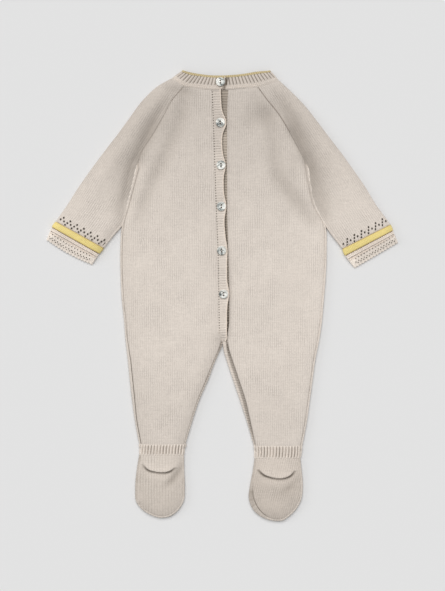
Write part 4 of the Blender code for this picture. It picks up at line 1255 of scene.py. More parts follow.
# %% Ankle ribs
ANKLE_ROW = 0.75
ANKLE_CELLS = 92
ANKLE_PITCH = 3.7
ANKLE_RIB = 0.85
ANKLE_SHADE = 1.05
ANKLE_LIGHT = 0.1
RIB_JOIN = 4.0
RIB_END = 2.2


def make_ankle(name, side):
    """The ribbed ring between a leg and its foot."""
    rows = Run([(0.0, height, left, right) for height, left, right in ANKLE[side]]).every(ANKLE_ROW)
    rows[0, 1] += 0.35
    rows[-1, 1] -= 0.3
    along = rows[0, 1] - rows[:, 1]
    points = tube_sections(rows[:, [2, 1]], rows[:, [3, 1]], ANKLE_CELLS, along)
    around = ring_pattern(points, along)
    reach = girth(points)
    middle = reach[:, FOLD_CELLS + ANKLE_CELLS // 2][:, None]
    wave = cosine(reach - middle, ANKLE_PITCH) * ease(np.minimum(reach, reach[:, -1:] - reach) / RIB_JOIN)
    ends = fade(np.minimum(along, along[-1] - along), 0.0, RIB_END)[:, None]
    points = emboss(points, ANKLE_RIB * wave * (0.1 + 0.9 * ends), closed=True)
    uneven = 0.8 + 0.2 * np.sin(around[..., 0] * 0.37 + 1.0)
    dark = ANKLE_SHADE * uneven * valleys(wave, 2.5) * ends - ANKLE_LIGHT
    return make_cloth(name, ECRU_RIB, (points, around, None, dark))


dress_both(make_ankle, "ankle_ring_{}", "ankle_rib_{}")

# %% Cuffs
CUFF_ROW = 0.5
WELT_CELLS = 70
HEM_CELLS = 130
WELT_SHARES = (0.07, 0.84)
WELT_RAISE = 0.45
WELT_SHADE = 0.6
WELT_LIGHT = 0.04
WELT_TURNED_IN = 3.0
LACE_PITCH = 4.1
LACE_HOLE = (0.6, 0.6)
LACE_ROWS = (1.7, 4.7, 7.6)
LACE_MARGIN = 1.9
LACE_SHADE = 0.55
LACE_RIM = 0.3
PICOT = 1.5
HEM_THINNING = 0.45
# Painted light over the hem, and more at its inner end
HEM_LIGHT = {1: -0.1, -1: -0.12}
HEM_INNER_LIGHT = -0.15
HEM_INNER_WIDTH = 9.0


def cuff_row(first, last, share):
    """A line between two lines of the cuff."""
    return np.array(first[:4]) + (np.array(last[:4]) - first[:4]) * share


def cuff_rows(start, end):
    """Rows between two lines of the cuff, their distance from the first and its share of the whole."""
    depth = np.linalg.norm(end[:2] - start[:2])
    along = np.linspace(0.0, depth, int(depth / CUFF_ROW) + 1)
    share = (along / depth)[:, None]
    return start + (end - start) * share, along, share


def make_welt(name, side):
    """The coloured welt of a cuff."""
    _, sleeve_end, welt_end, _ = SLEEVE_END[side]
    rows, along, share = cuff_rows(*(cuff_row(sleeve_end, welt_end, at) for at in WELT_SHARES))
    points = tube_sections(rows[:, :2], rows[:, 2:], WELT_CELLS, along)
    flat = ring_pattern(points, along)
    crown = np.abs(np.sin(math.pi * share)) ** 0.5
    points = emboss(points, np.broadcast_to(WELT_RAISE * crown, points.shape[:2]), closed=True)
    edge = np.minimum(along, (along[-1] - along) * 1.6)[:, None]
    dark = WELT_SHADE * bell(edge, 1.0) * (0.7 + 0.3 * np.sin(flat[..., 0] * 2.6)) - WELT_LIGHT
    return make_cloth(name, YELLOW, (points, flat, None, dark))


def make_hem(name, side):
    """The lace hem beyond the welt, with its two rows of holes and its picot edge."""
    _, sleeve_end, welt_end, hem_end = SLEEVE_END[side]
    start = cuff_row(sleeve_end, welt_end, WELT_SHARES[1] + 0.03)
    axis = AXIS[side]
    rows, along, share = cuff_rows(start, np.array(hem_end[:4]))
    bow = axis * hem_end[4] * share
    points = tube_sections(rows[:, :2], rows[:, 2:], HEM_CELLS, along, bow, (True, False))
    flat = ring_pattern(points, along)
    lobe = np.abs(np.sin(math.pi * flat[..., 0] / LACE_PITCH)) ** 0.7
    points[..., :2] += axis * (PICOT * (share**8 * lobe)[..., None])
    points[..., 2] *= 1 - HEM_THINNING * share**3
    centres = []
    edge = points[-1, : FOLD_CELLS + HEM_CELLS + 1]
    offset = flat[-1, : len(edge), 0]
    for row, gap in enumerate(LACE_ROWS):
        for number in range(1, int(offset[-1] / LACE_PITCH)):
            place = (number + 0.5 * (row % 2)) * LACE_PITCH
            at = [np.interp(place, offset, edge[:, part]) for part in (0, 1)]
            centres.append(np.array(at) - axis * (gap + PICOT * 0.6))
    outline = OUTLINES[1 if side == 1 else 6]
    inside = [centre for centre in centres if np.min(nearest_row(centre, outline)[0]) > LACE_MARGIN]
    points, gone = pierce(points, inside, LACE_HOLE)
    # Painted light over the hem and at its inner end, and painted shade in each lace hole
    inner = bell(flat[..., 0] - offset[-1], HEM_INNER_WIDTH) * (1 - share * 0.4)
    dark = HEM_LIGHT[side] * (0.5 + share) + HEM_INNER_LIGHT * inner
    for centre in inside:
        ring = rings(points, centre, LACE_HOLE)
        points[..., 2] += np.where(points[..., 2] > UPPER_SIDE, LACE_RIM * bell(ring - 1.9, 0.6), 0.0)
        dark = dark + (LACE_SHADE - dark) * skirt(ring, 1.0, 0.35)
    return make_cloth(name, PALE_LIT_LACE_KNIT, (points, flat, gone, dark))


dress_both(make_welt, "cuff_band_{}", "cuff_welt_{}", WELT_TURNED_IN)
dress_both(make_hem, "cuff_lace_{}", "cuff_hem_{}")

# %% [markdown]
# ## Feet
#
# Each foot is an upper that lies on the table and turns up all round, and a sole that closes it on top. The heel
# end of the sole is a turned heel: its lip stands over the sole along a curved fold. The upper is a fan of
# strips from the seam, round the edge and in to a spine; the sole is a plain grid with the lip as a step in its
# height.

# %% Foot upper
FOOT_STATIONS = 120
FOOT_CELLS = 8
TOE_SPINE = 28.0
FLAP_CELLS = 3
RIM_SHADE = 0.15
WIDE_SHADE = 0.14
FLAP_LAP = 0.4

# Painted light and shade on the foot's edge by the way it faces, across and along
FACING_LIGHT_AND_SHADE = (0.1, -0.2)

# The sole's seam usually lies this far inside the outline
FOOT_INSET = 2.4


def widened(inset):
    """How much further in than usual the sole's seam is, from 0 to 1."""
    return ease((inset - FOOT_INSET) / 2.0)


def foot_line(side):
    """Points along a foot's outline from corner to corner, with the inward direction and inset at each."""
    run = Run(FOOT[side])
    distance = np.linspace(0.0, run.length, FOOT_STATIONS + 1)
    rows = run.at(distance)
    ahead = np.gradient(rows[:, :2], axis=0)
    inward = unit(np.column_stack((-ahead[:, 1], ahead[:, 0])))
    inward[0], inward[-1] = (1.0, 0.0), (-1.0, 0.0)
    return rows, inward, distance


def make_upper(name, side):
    """The upper of a foot, from the sole's seam round the edge to the middle of the foot underneath."""
    rows, inward, distance = foot_line(side)
    arc = fold_arc(rows[:, :2], inward)
    flap_end = rows[:, 2] + FLAP_LAP
    reach = FOLD_REACH + (flap_end - FOLD_REACH)[:, None] * np.linspace(0.0, 1.0, FLAP_CELLS + 1)
    places = rows[:, None, :2] + inward[:, None] * reach[..., None]
    flap = with_height(places, TOP + lift(places) - 1.2 * tuck(flap_end[:, None] - reach))[:, ::-1]
    share = 1 - np.abs(2 * distance / distance[-1] - 1)
    top_middle = (rows[0, :2] + rows[-1, :2]) / 2
    toe = rows[FOOT_STATIONS // 2, :2] + (0.0, TOE_SPINE)
    spine = top_middle + (toe - top_middle) * share[:, None]
    flat = lower_sheet(rows[:, :2] + inward * FOLD_REACH, spine, FOOT_CELLS)
    sheet = side_by_side(flap, arc[:, ::-1], flat)
    along = girth(sheet)
    edge = along[:, FLAP_CELLS + FOLD_CELLS][:, None]
    pattern = sheet[..., :2] - inward[:, None] * np.maximum(edge - along, 0.0)[..., None] * 0.9
    # Painted shade on the turned-up rim, deeper where the seam lies further in, with painted light or shade by the way
    # the rim faces
    facing = inward[:, :1] * FACING_LIGHT_AND_SHADE[0] + inward[:, 1:] * FACING_LIGHT_AND_SHADE[1]
    dark = (RIM_SHADE + WIDE_SHADE * widened(rows[:, 2:3]) + facing) * ease(sheet[..., 2] / 2.0)
    return make_cloth(name, SOLE_KNIT, (sheet, pattern, None, dark))


dress_both(make_upper, "foot_top_{}", "foot_upper_{}")

# %% Foot sole
SOLE_CELL = 0.75
SOLE_SEAM_SHADE = 0.7
LIP_RISE = 1.3
LIP_WIDTH = 5.0
SOLE_DROP = 2.6
SOLE_DROP_REACH = 9.0
UNDER_REACH = 14.0
SOLE_CELLS = 75
LIP_STEP = 0.6
HEEL_STEP = 1.5
HEEL_LINE_SHADE = 0.85
HEEL_SOFT_SHADE = 0.2
# Painted shade in the sole's creases
SOLE_TROUGH_SHADE = 1.2
# Painted shade along the sole's left side, and painted light near its edge below the heel
SOLE_LIGHT_AND_SHADE = (0.1, -0.06)

# The sole's knit, how deep the painted shade below the heel's lip is, and how far its columns lean
SOLE = {1: (SOLE_KNIT, 0.13, 0.0), -1: (FINE_SOLE_KNIT, 0.16, math.radians(14))}

# The fold between heel and sole: x, y, height of its step, strength of the painted shade along it
HEEL = {
    1: [
        (-95.5, -202.0, 0.1, 0.15), (-90.0, -208.0, 0.9, 0.75), (-80.0, -211.2, 1.0, 0.55),
        (-71.0, -211.9, 1.0, 0.55), (-63.5, -210.4, 1.0, 0.7), (-57.8, -206.6, 0.2, 0.4),
    ],
    -1: [
        (43.6, -208.8, 0.2, 0.5), (48.6, -213.8, 0.9, 0.85), (56.5, -217.2, 1.0, 0.7),
        (66.0, -219.0, 1.0, 0.45), (74.5, -218.4, 1.0, 0.6), (81.5, -215.4, 0.9, 0.8), (86.2, -210.0, 0.2, 0.4),
    ],
}


def heel_step(places, heel):
    """Extra height at the heel's lip and just below it, the shade there, and how far below it a place is."""
    fine = Run(heel).every(HEEL_STEP)
    distance, nearest = nearest_row(places, fine)
    crease = np.interp(places[..., 0], fine[:, 0], fine[:, 1])
    signed = np.where(places[..., 1] > crease, distance, -distance)
    lip = LIP_RISE * bell(signed, LIP_WIDTH)
    drop = -SOLE_DROP * np.exp(signed / SOLE_DROP_REACH)
    side = ease((signed + LIP_STEP / 2) / LIP_STEP)
    line = HEEL_LINE_SHADE * bell(signed + 0.9, 1.25)
    soft = HEEL_SOFT_SHADE * np.exp(-np.abs(signed + 1.5) / 3.0) * (signed < 0.5)
    height = nearest[..., 2] * (lip * side + drop * (1 - side))
    return height, nearest[..., 3] * (line + soft), ease(-signed / UNDER_REACH)


def make_sole(name, side):
    """The sole of a foot, with the heel's lip."""
    material, shade, lean = SOLE[side]
    rows, inward, _ = foot_line(side)
    seam = rows[:, :2] + inward * rows[:, 2:3]
    low_point = int(np.argmin(seam[:, 1]))
    top = min(seam[0, 1], seam[-1, 1])
    bottom = seam[low_point, 1]
    count = int((top - bottom) / SOLE_CELL)
    turn = np.linspace(0.0, 1.0, count + 1)
    heights = top - (top - bottom) * (turn + 0.12 * np.sin(math.pi * turn) * turn)
    heights[-1] = bottom
    heights = np.sort(np.unique(np.maximum(heights, bottom)))[::-1]
    left = np.column_stack((np.interp(-heights, -seam[: low_point + 1, 1], seam[: low_point + 1, 0]), heights))
    right = np.column_stack((np.interp(heights, seam[low_point:, 1], seam[low_point:, 0]), heights))
    share = np.linspace(0.0, 1.0, SOLE_CELLS + 1)
    places = left[:, None] + (right - left)[:, None] * share[None, :, None]
    edge, nearest = nearest_row(places, np.column_stack((seam, rows[:, 2])))
    wide = widened(nearest[..., 2])
    step, dark, under = heel_step(places, HEEL[side])
    height = TOP + lift(places) - (0.3 + 0.7 * wide) * tuck(edge) + step * ease(edge / 6.0)
    points = with_height(places, np.maximum(height, TOP * 0.65))
    # Painted shade along the heel's fold and below its lip, and in the sole's creases
    dark = dark + shade * under + SOLE_TROUGH_SHADE * hollows(points)
    dark = dark + wide * SOLE_SEAM_SHADE * bell(edge - SEAM_LINE_INSET, SEAM_LINE_WIDTH)
    from_left = share * np.linalg.norm(right - left, axis=1)[:, None]
    # Painted shade along the sole's left side, and painted light near its edge below the heel
    dark = dark + SOLE_LIGHT_AND_SHADE[0] * bell(from_left, 9.0) + SOLE_LIGHT_AND_SHADE[1] * bell(edge, 6.0) * under
    turned = np.stack((places[..., 0] - math.tan(lean) * places[..., 1], places[..., 1]), axis=-1)
    return make_cloth(name, material, (points, turned, None, np.clip(dark, -0.2, 1.0)))


dress_both(make_sole, "foot_base_{}", "foot_sole_{}")

# %% [markdown]
# ## Collar
#
# The collar is a ribbed strip that runs from its lapped end on the left, round the shoulder folds and the front
# neckline underneath, and back to its other end under the lap. Every share of its height gets its own smooth path,
# so the ribs lean outwards at the shoulders as they do in the cloth.

# %% Collar paths
COLLAR_COUNTS = (130, 170, 150)
COLLAR_MIDDLE = 0.6
COLLAR_WIDTH = 17.0
COLLAR_PITCH = 4.0
COLLAR_RIB = 0.7
COLLAR_SEAM_ZONE = 0.30
TIPPING_PITCH = 2.7
TIPPING_SHARE = 0.84
LAP_RISE_WIDTH = 20.0
LAP_CORNER = 2.0
LAP_CORNER_WIDTH = 1.6
LAP_SLANT_WIDTH = 3.0
LAP_SLANT = (-2.2, 2.2)
LAP_SHADE_LINE = [(1.6, 246.0), (3.2, 252.0), (5.4, 258.0), (5.8, 263.0)]


def toward_fold(edge, back, under):
    """The direction from a folded edge into the cloth."""
    return unit(unit(np.subtract(back, edge)) + unit(np.subtract(under, edge)))


def front_collar():
    """Neck and top points of the collar along the front neckline."""
    left_x, left_y, right_x, _, sag = FRONT_RAGLAN[0]
    rows = []
    for share in np.linspace(0.0, 1.0, 13):
        x = left_x + (right_x - left_x) * share
        neck = np.array([x, left_y - sag * (1 - (x / max(-left_x, right_x)) ** 2)])
        lean = unit((COLLAR_FRONT_LEAN * (1 - 2 * share), 1.0))
        rows.append((*neck, *(neck + lean * COLLAR_FRONT_HEIGHT)))
    return rows


def at_share(row, share):
    """A point between the neck seam and the top edge."""
    return np.array(row[:2]) + (np.array(row[2:4]) - row[:2]) * share


def collar_line(share):
    """Points round the neck at one share of the collar's height."""
    under = front_collar()
    folds = []
    backs = (COLLAR_BACK[1][-1], COLLAR_BACK[-1][0])
    for shoulder, back, low in zip(SHOULDER.values(), backs, (under[0], under[-1])):
        neck_in = toward_fold(shoulder[:2], back[:2], low[:2])
        top_in = toward_fold(shoulder[2:], back[2:], low[2:])
        folds.append((at_share(shoulder, share), unit(neck_in + (top_in - neck_in) * share)))
    (left, left_in), (right, right_in) = folds
    paths = (
        [at_share(row, share) for row in COLLAR_BACK[1]] + [left + left_in * FOLD_REACH],
        [left + left_in * FOLD_REACH] + [at_share(row, share) for row in under] + [right + right_in * FOLD_REACH],
        [right + right_in * FOLD_REACH] + [at_share(row, share) for row in COLLAR_BACK[-1]],
    )
    lines = []
    for path, count in zip(paths, COLLAR_COUNTS):
        run = Run(path)
        lines.append(run.at(np.linspace(0.0, run.length, count + 1)))
    away = lines[0][:, 0] - lines[0][0, 0]
    lines[0][:, 1] += LAP_CORNER * bell(away, LAP_CORNER_WIDTH) * (1 - share) ** 4
    lines[0][:, 0] += bell(away, LAP_SLANT_WIDTH) * (LAP_SLANT[0] + (LAP_SLANT[1] - LAP_SLANT[0]) * share)
    climb = np.clip((lines[0][:, 0] - PLACKET[0][1] + LAP_RISE_WIDTH) / LAP_RISE_WIDTH, 0.0, 1.0) ** 2
    high_left = TOP + lift(lines[0]) + (BAND_TOP - TOP) * climb
    high_right = TOP + lift(lines[2])
    left_arc = fold_arc(left[None], left_in[None], peak=high_left[-1:])[0, ::-1]
    right_arc = fold_arc(right[None], right_in[None], peak=high_right[:1])[0]
    return np.vstack((
        np.column_stack((lines[0], high_left)),
        left_arc[1:-1],
        np.column_stack((lines[1], np.zeros(len(lines[1])))),
        right_arc[1:-1],
        np.column_stack((lines[2], high_right)),
    ))


def collar_strip(shares):
    """Points and pattern of a strip of the collar between some shares of its height."""
    points = np.stack([collar_line(share) for share in shares], axis=1)
    around = lengths(collar_line(COLLAR_MIDDLE))
    heights = np.array(shares) * COLLAR_WIDTH
    pattern = np.stack(np.broadcast_arrays(around[:, None], heights[None, :]), axis=-1)
    return points, pattern, around


# %% Collar
SEAM_SHARES = (0.0, 0.02, 0.05, 0.09)
TIPPING_GAP = 0.015
TIPPING_ROLL = (0.75, -0.35)
TIPPING_RIB = 0.25
TIPPING_SHADE = 0.6
COLLAR_SHADE = 0.75
LAP_SHADE = 0.8
LINKING_RAISE = 0.16
LINKING_PITCH = 1.9


def under_button(points, centre):
    """Shade of the cloth under the middle of a button, which its holes show."""
    return skirt(np.linalg.norm(points[..., :2] - centre, axis=-1), 2.2, 0.5)


def make_collar(name):
    """The ribbed part of the collar."""
    shares = np.concatenate((SEAM_SHARES, np.linspace(0.14, TIPPING_SHARE - TIPPING_GAP, 14)))
    points, pattern, around = collar_strip(shares)
    rise = ease((shares - COLLAR_SEAM_ZONE + 0.06) / 0.14)
    wave = cosine(around, COLLAR_PITCH)[:, None]
    linking = LINKING_RAISE * cosine(shares * COLLAR_WIDTH, LINKING_PITCH)[None, :] * (1 - rise)
    amount = COLLAR_RIB * wave * rise - tuck(shares * COLLAR_WIDTH) + linking
    dark = COLLAR_SHADE * valleys(wave, 1.5) * rise
    lap = nearest_row(points[..., :2], LAP_SHADE_LINE)[0]
    dark[-COLLAR_COUNTS[2] :] += LAP_SHADE * bell(lap[-COLLAR_COUNTS[2] :], 1.5)
    dark += under_button(points, BUTTONS[0])
    return make_cloth(name, ECRU_RIB, (emboss(points, amount), pattern, None, np.clip(dark, 0.0, 1.0)))


def make_tipping(name):
    """The coloured edge of the collar, a rolled strip."""
    across = np.linspace(0.0, 1.0, 9)
    shares = TIPPING_SHARE + (1 - TIPPING_SHARE) * across
    points, pattern, around = collar_strip(shares)
    roll = TIPPING_ROLL[0] * np.sin(math.pi * (0.08 + 0.84 * across)) ** 0.6 + TIPPING_ROLL[1]
    wave = cosine(around, TIPPING_PITCH)[:, None]
    amount = roll[None, :] + TIPPING_RIB * wave * np.sin(math.pi * across)[None, :]
    dark = TIPPING_SHADE * valleys(wave) * np.ones(amount.shape)
    return make_cloth(name, TIPPING, (emboss(points, amount), pattern, None, dark))


tipping = show_for(make_tipping("neck_tipping")[0], "collar_tipping")
dress(make_collar("neck_rib"), "collar")

# %% [markdown]
# ## Placket
#
# The buttonhole band lies over the button band and is ribbed crosswise. Its free edge waves between the buttons,
# because each button holds it down and the knit between them springs out. The two bands are separate grids whose
# rows are fine enough for the ribs. A line of small holes, one to a rib, marks where the band joins the back.

# %% Placket bands
BAND_ROW = 0.52
BAND_CELLS = 22
BAND_PITCH = 3.1
BAND_RIB = 0.26
BAND_RIB_SHADE = 0.15
BAND_EDGE_LIGHT = 0.4
BAND_SPRING = 0.9
BAND_END_DROP = 2.0
BAND_END_REACH = 14.0
# Heights between which the band's ribs grow clearer and its colour a little lighter, going up from its lower end
BAND_FADE_HEIGHTS = (60.0, 160.0)
LINK_HOLE = (0.55, 0.6)
LINK_INSET = 1.5
LINK_SHADE = 0.6
UNDER_EDGE = -4.4
UNDER_CELLS = 12
UNDER_PITCH = BAND_PITCH * 1.03
UNDER_SINK = 0.9
UNDER_RAISE = 0.4
UNDER_SHADE = (0.2, 0.35)

# Height and darkness of the strip that shows past the buttonhole band
UNDER_BAND_SHADE = [
    (-40.0, 0.85), (-20.0, 0.6), (10.0, 0.4), (28.0, 0.4), (56.0, 0.3), (68.0, 0.55), (92.0, 0.5), (106.0, 0.3),
    (116.0, 0.3), (144.0, 0.4), (154.0, 0.25), (170.0, 0.22), (190.0, 0.09), (198.0, 0.36), (212.0, 0.27),
    (224.0, 0.37),
]

BAND_HEIGHTS = np.arange(BAND_LINE[0][0] - 0.3, BAND_LINE[-1][0], -BAND_ROW)


def band_surface(places, left, right):
    """Height of the buttonhole band's top."""
    near, far = places[..., 0] - left, right - places[..., 0]
    middle = ease(1 - far / np.maximum(right - left, 1e-6) / 0.7)
    drop = BAND_END_DROP * (1 - ease((places[..., 1] - BAND_HEIGHTS[-1]) / BAND_END_REACH))
    return BAND_TOP + lift(places) + BAND_SPRING * middle - drop, near, far


def band_edge(heights):
    """The free edge of the buttonhole band with the rounded corner at its lower end."""
    low = np.clip(1 - (heights - BAND_HEIGHTS[-1]) / 3.0, 0.0, 1.0)
    return scallop_edge(heights) - 3.0 * low**2.5


def make_buttonhole_band(name):
    """The ribbed band with the buttonholes' side of the placket."""
    left = placket_edge(BAND_HEIGHTS, 1) + 0.05
    right = band_edge(BAND_HEIGHTS)
    distance = spread(right - left, BAND_CELLS)
    places = np.stack(np.broadcast_arrays(left[:, None] + distance, BAND_HEIGHTS[:, None]), axis=-1)
    height, near, far = band_surface(places, left[:, None], right[:, None])
    ribs = cosine(BAND_HEIGHTS, BAND_PITCH)[:, None]
    soft = np.interp(places[..., 1], BAND_FADE_HEIGHTS, (0.65, 1.0))
    height = height + BAND_RIB * soft * ribs * fade(near, 2.0, 3.5) - 0.35 * tuck(near)
    height = height - 1.0 * np.clip(1 - far / 1.3, 0.0, 1.0) ** 2
    points = with_height(places, height)
    rows = np.arange(np.ceil(BAND_HEIGHTS[-1] / BAND_PITCH) + 1, np.floor(BAND_HEIGHTS[0] / BAND_PITCH))
    centres = [(placket_edge(row * BAND_PITCH, 1) + LINK_INSET, row * BAND_PITCH + BAND_PITCH / 2) for row in rows]
    points, gone = pierce(points, centres, LINK_HOLE)
    clear = np.interp(places[..., 1], BAND_FADE_HEIGHTS, (0.6, 1.0))
    dark = BAND_RIB_SHADE * clear * valleys(ribs, 2.5) * fade(near, 2.0, 3.5) * fade(far, 1.0, 2.0)
    # The band a little darker towards its lower end, and a painted highlight along its rolled free edge
    dark += np.interp(places[..., 1], BAND_FADE_HEIGHTS, (0.06, 0.0)) - BAND_EDGE_LIGHT * bell(far - 0.9, 1.0)
    for centre in centres:
        dark = np.maximum(dark, LINK_SHADE * skirt(rings(points, centre, LINK_HOLE), 1.0, 0.4))
    for centre in BUTTONS[1:]:
        dark = np.maximum(dark, under_button(places, centre))
    return make_cloth(name, ECRU_RIB, (points, places[..., ::-1], gone, dark))


def make_button_band(name):
    """The band under it, which carries the buttons."""
    right = placket_edge(BAND_HEIGHTS, 2) + 1.4
    share = np.linspace(0.0, 1.0, UNDER_CELLS + 1)
    across = UNDER_EDGE + (right - UNDER_EDGE)[:, None] * share
    places = np.stack(np.broadcast_arrays(across, BAND_HEIGHTS[:, None]), axis=-1)
    ribs = cosine(BAND_HEIGHTS, UNDER_PITCH)[:, None]
    points = with_height(places, TOP - UNDER_SINK + lift(places) + UNDER_RAISE * ribs)
    # Painted shade on the strip that shows past the buttonhole band, between its ribs and beside the band's edge
    deep = np.interp(places[..., 1], *zip(*UNDER_BAND_SHADE))
    beside = skirt(places[..., 0], scallop_edge(places[..., 1]) + 0.4, 1.1)
    dark = deep + UNDER_SHADE[0] * valleys(ribs) + UNDER_SHADE[1] * beside
    return make_cloth(name, SHADED_UNDER_RIB, (points, places[..., ::-1], None, np.clip(dark, 0.0, 1.0)))


dress(make_buttonhole_band("placket_top"), "buttonhole_band")
dress(make_button_band("placket_under"), "button_band")

# %% Inseam bands
INSEAM_ROW = 0.8
INSEAM_PITCH = 3.2
INSEAM_RIB = 0.3

# For each side: places down the leg, width and depth of the shaded part beside the back's seam
INSEAM_SHADE = {
    1: ((0.0, 14.0, 60.0, 130.0), (2.0, 1.6, 1.0, 0.9), (0.85, 0.7, 0.55, 0.5)),
    -1: (
        (0.0, 6.0, 22.0, 45.0, 80.0, 112.0, 130.0),
        (2.0, 2.0, 3.4, 3.6, 3.6, 2.2, 2.0),
        (0.95, 0.95, 0.72, 0.65, 0.7, 0.7, 0.25),
    ),
}


def make_inseam(name, side):
    """The ribbed band along the inside of a leg, from underneath round the edge to the back's seam."""
    leg = LEG[side]
    starts = [INSEAM_START] + [0.0] * (len(leg) - 1)
    rows = Run([(row[2], row[0] + start, row[3]) for row, start in zip(leg, starts)]).every(INSEAM_ROW)
    edge = rows[:, :2]
    inward = np.tile((-float(side), 0.0), (len(rows), 1))
    arc = fold_arc(edge, inward)
    flat = lower_sheet(edge + inward * INSEAM_BAND, edge + inward * FOLD_REACH, 6)
    reach = np.maximum(np.abs(rows[:, 2] - rows[:, 0]) - 0.15, FOLD_REACH + 0.15)
    along = FOLD_REACH + (reach - FOLD_REACH)[:, None] * np.linspace(0.0, 1.0, 6)
    places = edge[:, None] + inward[:, None] * along[..., None]
    flap = with_height(places, TOP + lift(places) - tuck(reach[:, None] - along))
    sheet = side_by_side(flat, arc, flap)
    down = lengths(edge)
    ribs = np.broadcast_to(INSEAM_RIB * cosine(down, INSEAM_PITCH)[:, None], sheet.shape[:2])
    around = girth(sheet)
    places, widths, depths = INSEAM_SHADE[side]
    width, depth = (np.interp(down, places, values)[:, None] for values in (widths, depths))
    past = np.maximum(around[:, -1:] - around, 0.0)
    dark = depth * (1 - ease((past - width * 0.6) / (width * 0.8))) * (0.85 - 0.15 * ribs / INSEAM_RIB)
    pattern = np.stack((np.broadcast_to(down[:, None], sheet.shape[:2]), around), axis=-1)
    sheet = emboss(sheet, ribs * ease((around - 5.0) / 3.0))
    return make_cloth(name, ECRU_RIB, (sheet, pattern, None, dark))


dress_both(make_inseam, "inseam_rib_{}", "inseam_band_{}")

# %% [markdown]
# ## Stitches and rolled edges
#
# Seams, linking rows and the rolled edge of the buttonhole band are all the same thing at this size: short soft
# strands set one after another along a line. Geometry Nodes does that well: a line of edges is resampled to the
# pitch, a small rounded strand is set on every point and turned along the line, and each one gets its own slight
# turn and size. Lines are listed with the sizes of their strands.

# %% Thread finish
THREAD_FIBRE_SCALE = 1800.0
THREAD_CONTRAST = 0.15


def thread_material(name, colour):
    """Matt cotton thread with a little fibre in it."""
    material, tree, place = new_material(name)
    fibre = cloud(tree, place, THREAD_FIBRE_SCALE, 3.0)
    ends = [tuple(min(part * share, 1.0) for part in colour) for share in (1 - THREAD_CONTRAST, 1 + THREAD_CONTRAST)]
    shade = blend_colour(tree, fibre, (*ends[0], 1.0), (*ends[1], 1.0))
    finish(tree, shade, fibre, 0.5, 0.1, {**COTTON, "Roughness": 0.9})
    return material


PALE_THREAD = thread_material("pale thread", (0.82, 0.715, 0.62))
BROWN_THREAD = thread_material("brown thread", (0.24, 0.17, 0.10))
GREY_THREAD = thread_material("grey thread", (0.36, 0.30, 0.26))
PEACH_THREAD = thread_material("peach thread", (0.86, 0.74, 0.60))
print("thread finishes:", sum("thread" in item.name for item in bpy.data.materials))

# %% Strand tree
STRAND_SEED = 7
STRAND_SIDES = 8
STRAND_RINGS = 5

# Named inputs of the tree: sizes in metres, turn in radians, share of unevenness
STRAND_INPUTS = {"Pitch": 0.002, "Length": 0.001, "Width": 0.0005, "Turn": 0.0, "Uneven": 0.1}


def strand_tree(name, material):
    """Node tree: a strand on every step of a line, turned along it."""
    tree = bpy.data.node_groups.new(name, "GeometryNodeTree")
    face = tree.interface
    face.new_socket("Geometry", in_out="INPUT", socket_type="NodeSocketGeometry")
    for label, value in STRAND_INPUTS.items():
        face.new_socket(label, in_out="INPUT", socket_type="NodeSocketFloat").default_value = value
    face.new_socket("Geometry", in_out="OUTPUT", socket_type="NodeSocketGeometry")

    def add(kind, output, inputs=(), **settings):
        return node(tree, kind, inputs, **settings).outputs[output]

    given = node(tree, "NodeGroupInput").outputs
    line = add("GeometryNodeMeshToCurve", "Curve", {"Mesh": given["Geometry"]})
    steps = add("GeometryNodeResampleCurve", "Curve", {"Curve": line, "Length": given["Pitch"]}, mode="LENGTH")
    tangent = add("GeometryNodeInputTangent", "Tangent")
    along = add("FunctionNodeAlignRotationToVector", "Rotation", {"Vector": tangent}, axis="X")
    up = {"Rotation": along, "Vector": (0.0, 0.0, 1.0)}
    upright = add("FunctionNodeAlignRotationToVector", "Rotation", up, axis="Z", pivot_axis="X")
    wobble = add("FunctionNodeRandomValue", 1, {"Min": -1.0, "Max": 1.0, "Seed": STRAND_SEED}, data_type="FLOAT")
    swing = calc(tree, "MULTIPLY_ADD", wobble, given["Uneven"], given["Turn"])
    spin = {"Rotation": upright, "Rotate By": add("ShaderNodeCombineXYZ", "Vector", {"Z": swing})}
    spun = add("FunctionNodeRotateRotation", "Rotation", spin, rotation_space="LOCAL")
    size = calc(tree, "MULTIPLY_ADD", wobble, given["Uneven"], 1.0)
    sides = {"X": given["Length"], "Y": given["Width"], "Z": given["Width"]}
    scale = scaled(tree, add("ShaderNodeCombineXYZ", "Vector", sides), size)
    ball = {"Segments": STRAND_SIDES, "Rings": STRAND_RINGS, "Radius": 0.5}
    strand = add("GeometryNodeMeshUVSphere", "Mesh", ball)
    placing = {"Points": steps, "Instance": strand, "Rotation": spun, "Scale": scale}
    shape = add("GeometryNodeInstanceOnPoints", "Instances", placing)
    for kind in ("GeometryNodeRealizeInstances", "GeometryNodeSetShadeSmooth"):
        shape = add(kind, "Geometry", {"Geometry": shape})
    shape = add("GeometryNodeSetMaterial", "Geometry", {"Geometry": shape, "Material": material})
    node(tree, "NodeGroupOutput", {"Geometry": shape})
    return tree


def strands(name, material, lines, pitch, length, width, turn=0.0, uneven=0.12):
    """Strands along lines of points, all sizes in millimetres."""
    points, edges = [], []
    for line in lines:
        first = len(points)
        points += [tuple(point) for point in np.asarray(line) * MM]
        edges += [(first + step, first + step + 1) for step in range(len(line) - 1)]
    mesh = bpy.data.meshes.new(name)
    mesh.from_pydata(points, edges, [])
    thing = add_object(name, mesh)
    maker = thing.modifiers.new("strands", "NODES")
    maker.node_group = strand_tree(name + " strands", material)
    values = dict(zip(STRAND_INPUTS, (pitch * MM, length * MM, width * MM, turn, uneven)))
    for item in maker.node_group.interface.items_tree:
        if item.in_out == "INPUT" and item.name in values:
            maker[item.identifier] = values[item.name]
    settle(thing)
    show_for(thing, None)
    print(name, "faces", len(thing.data.polygons))


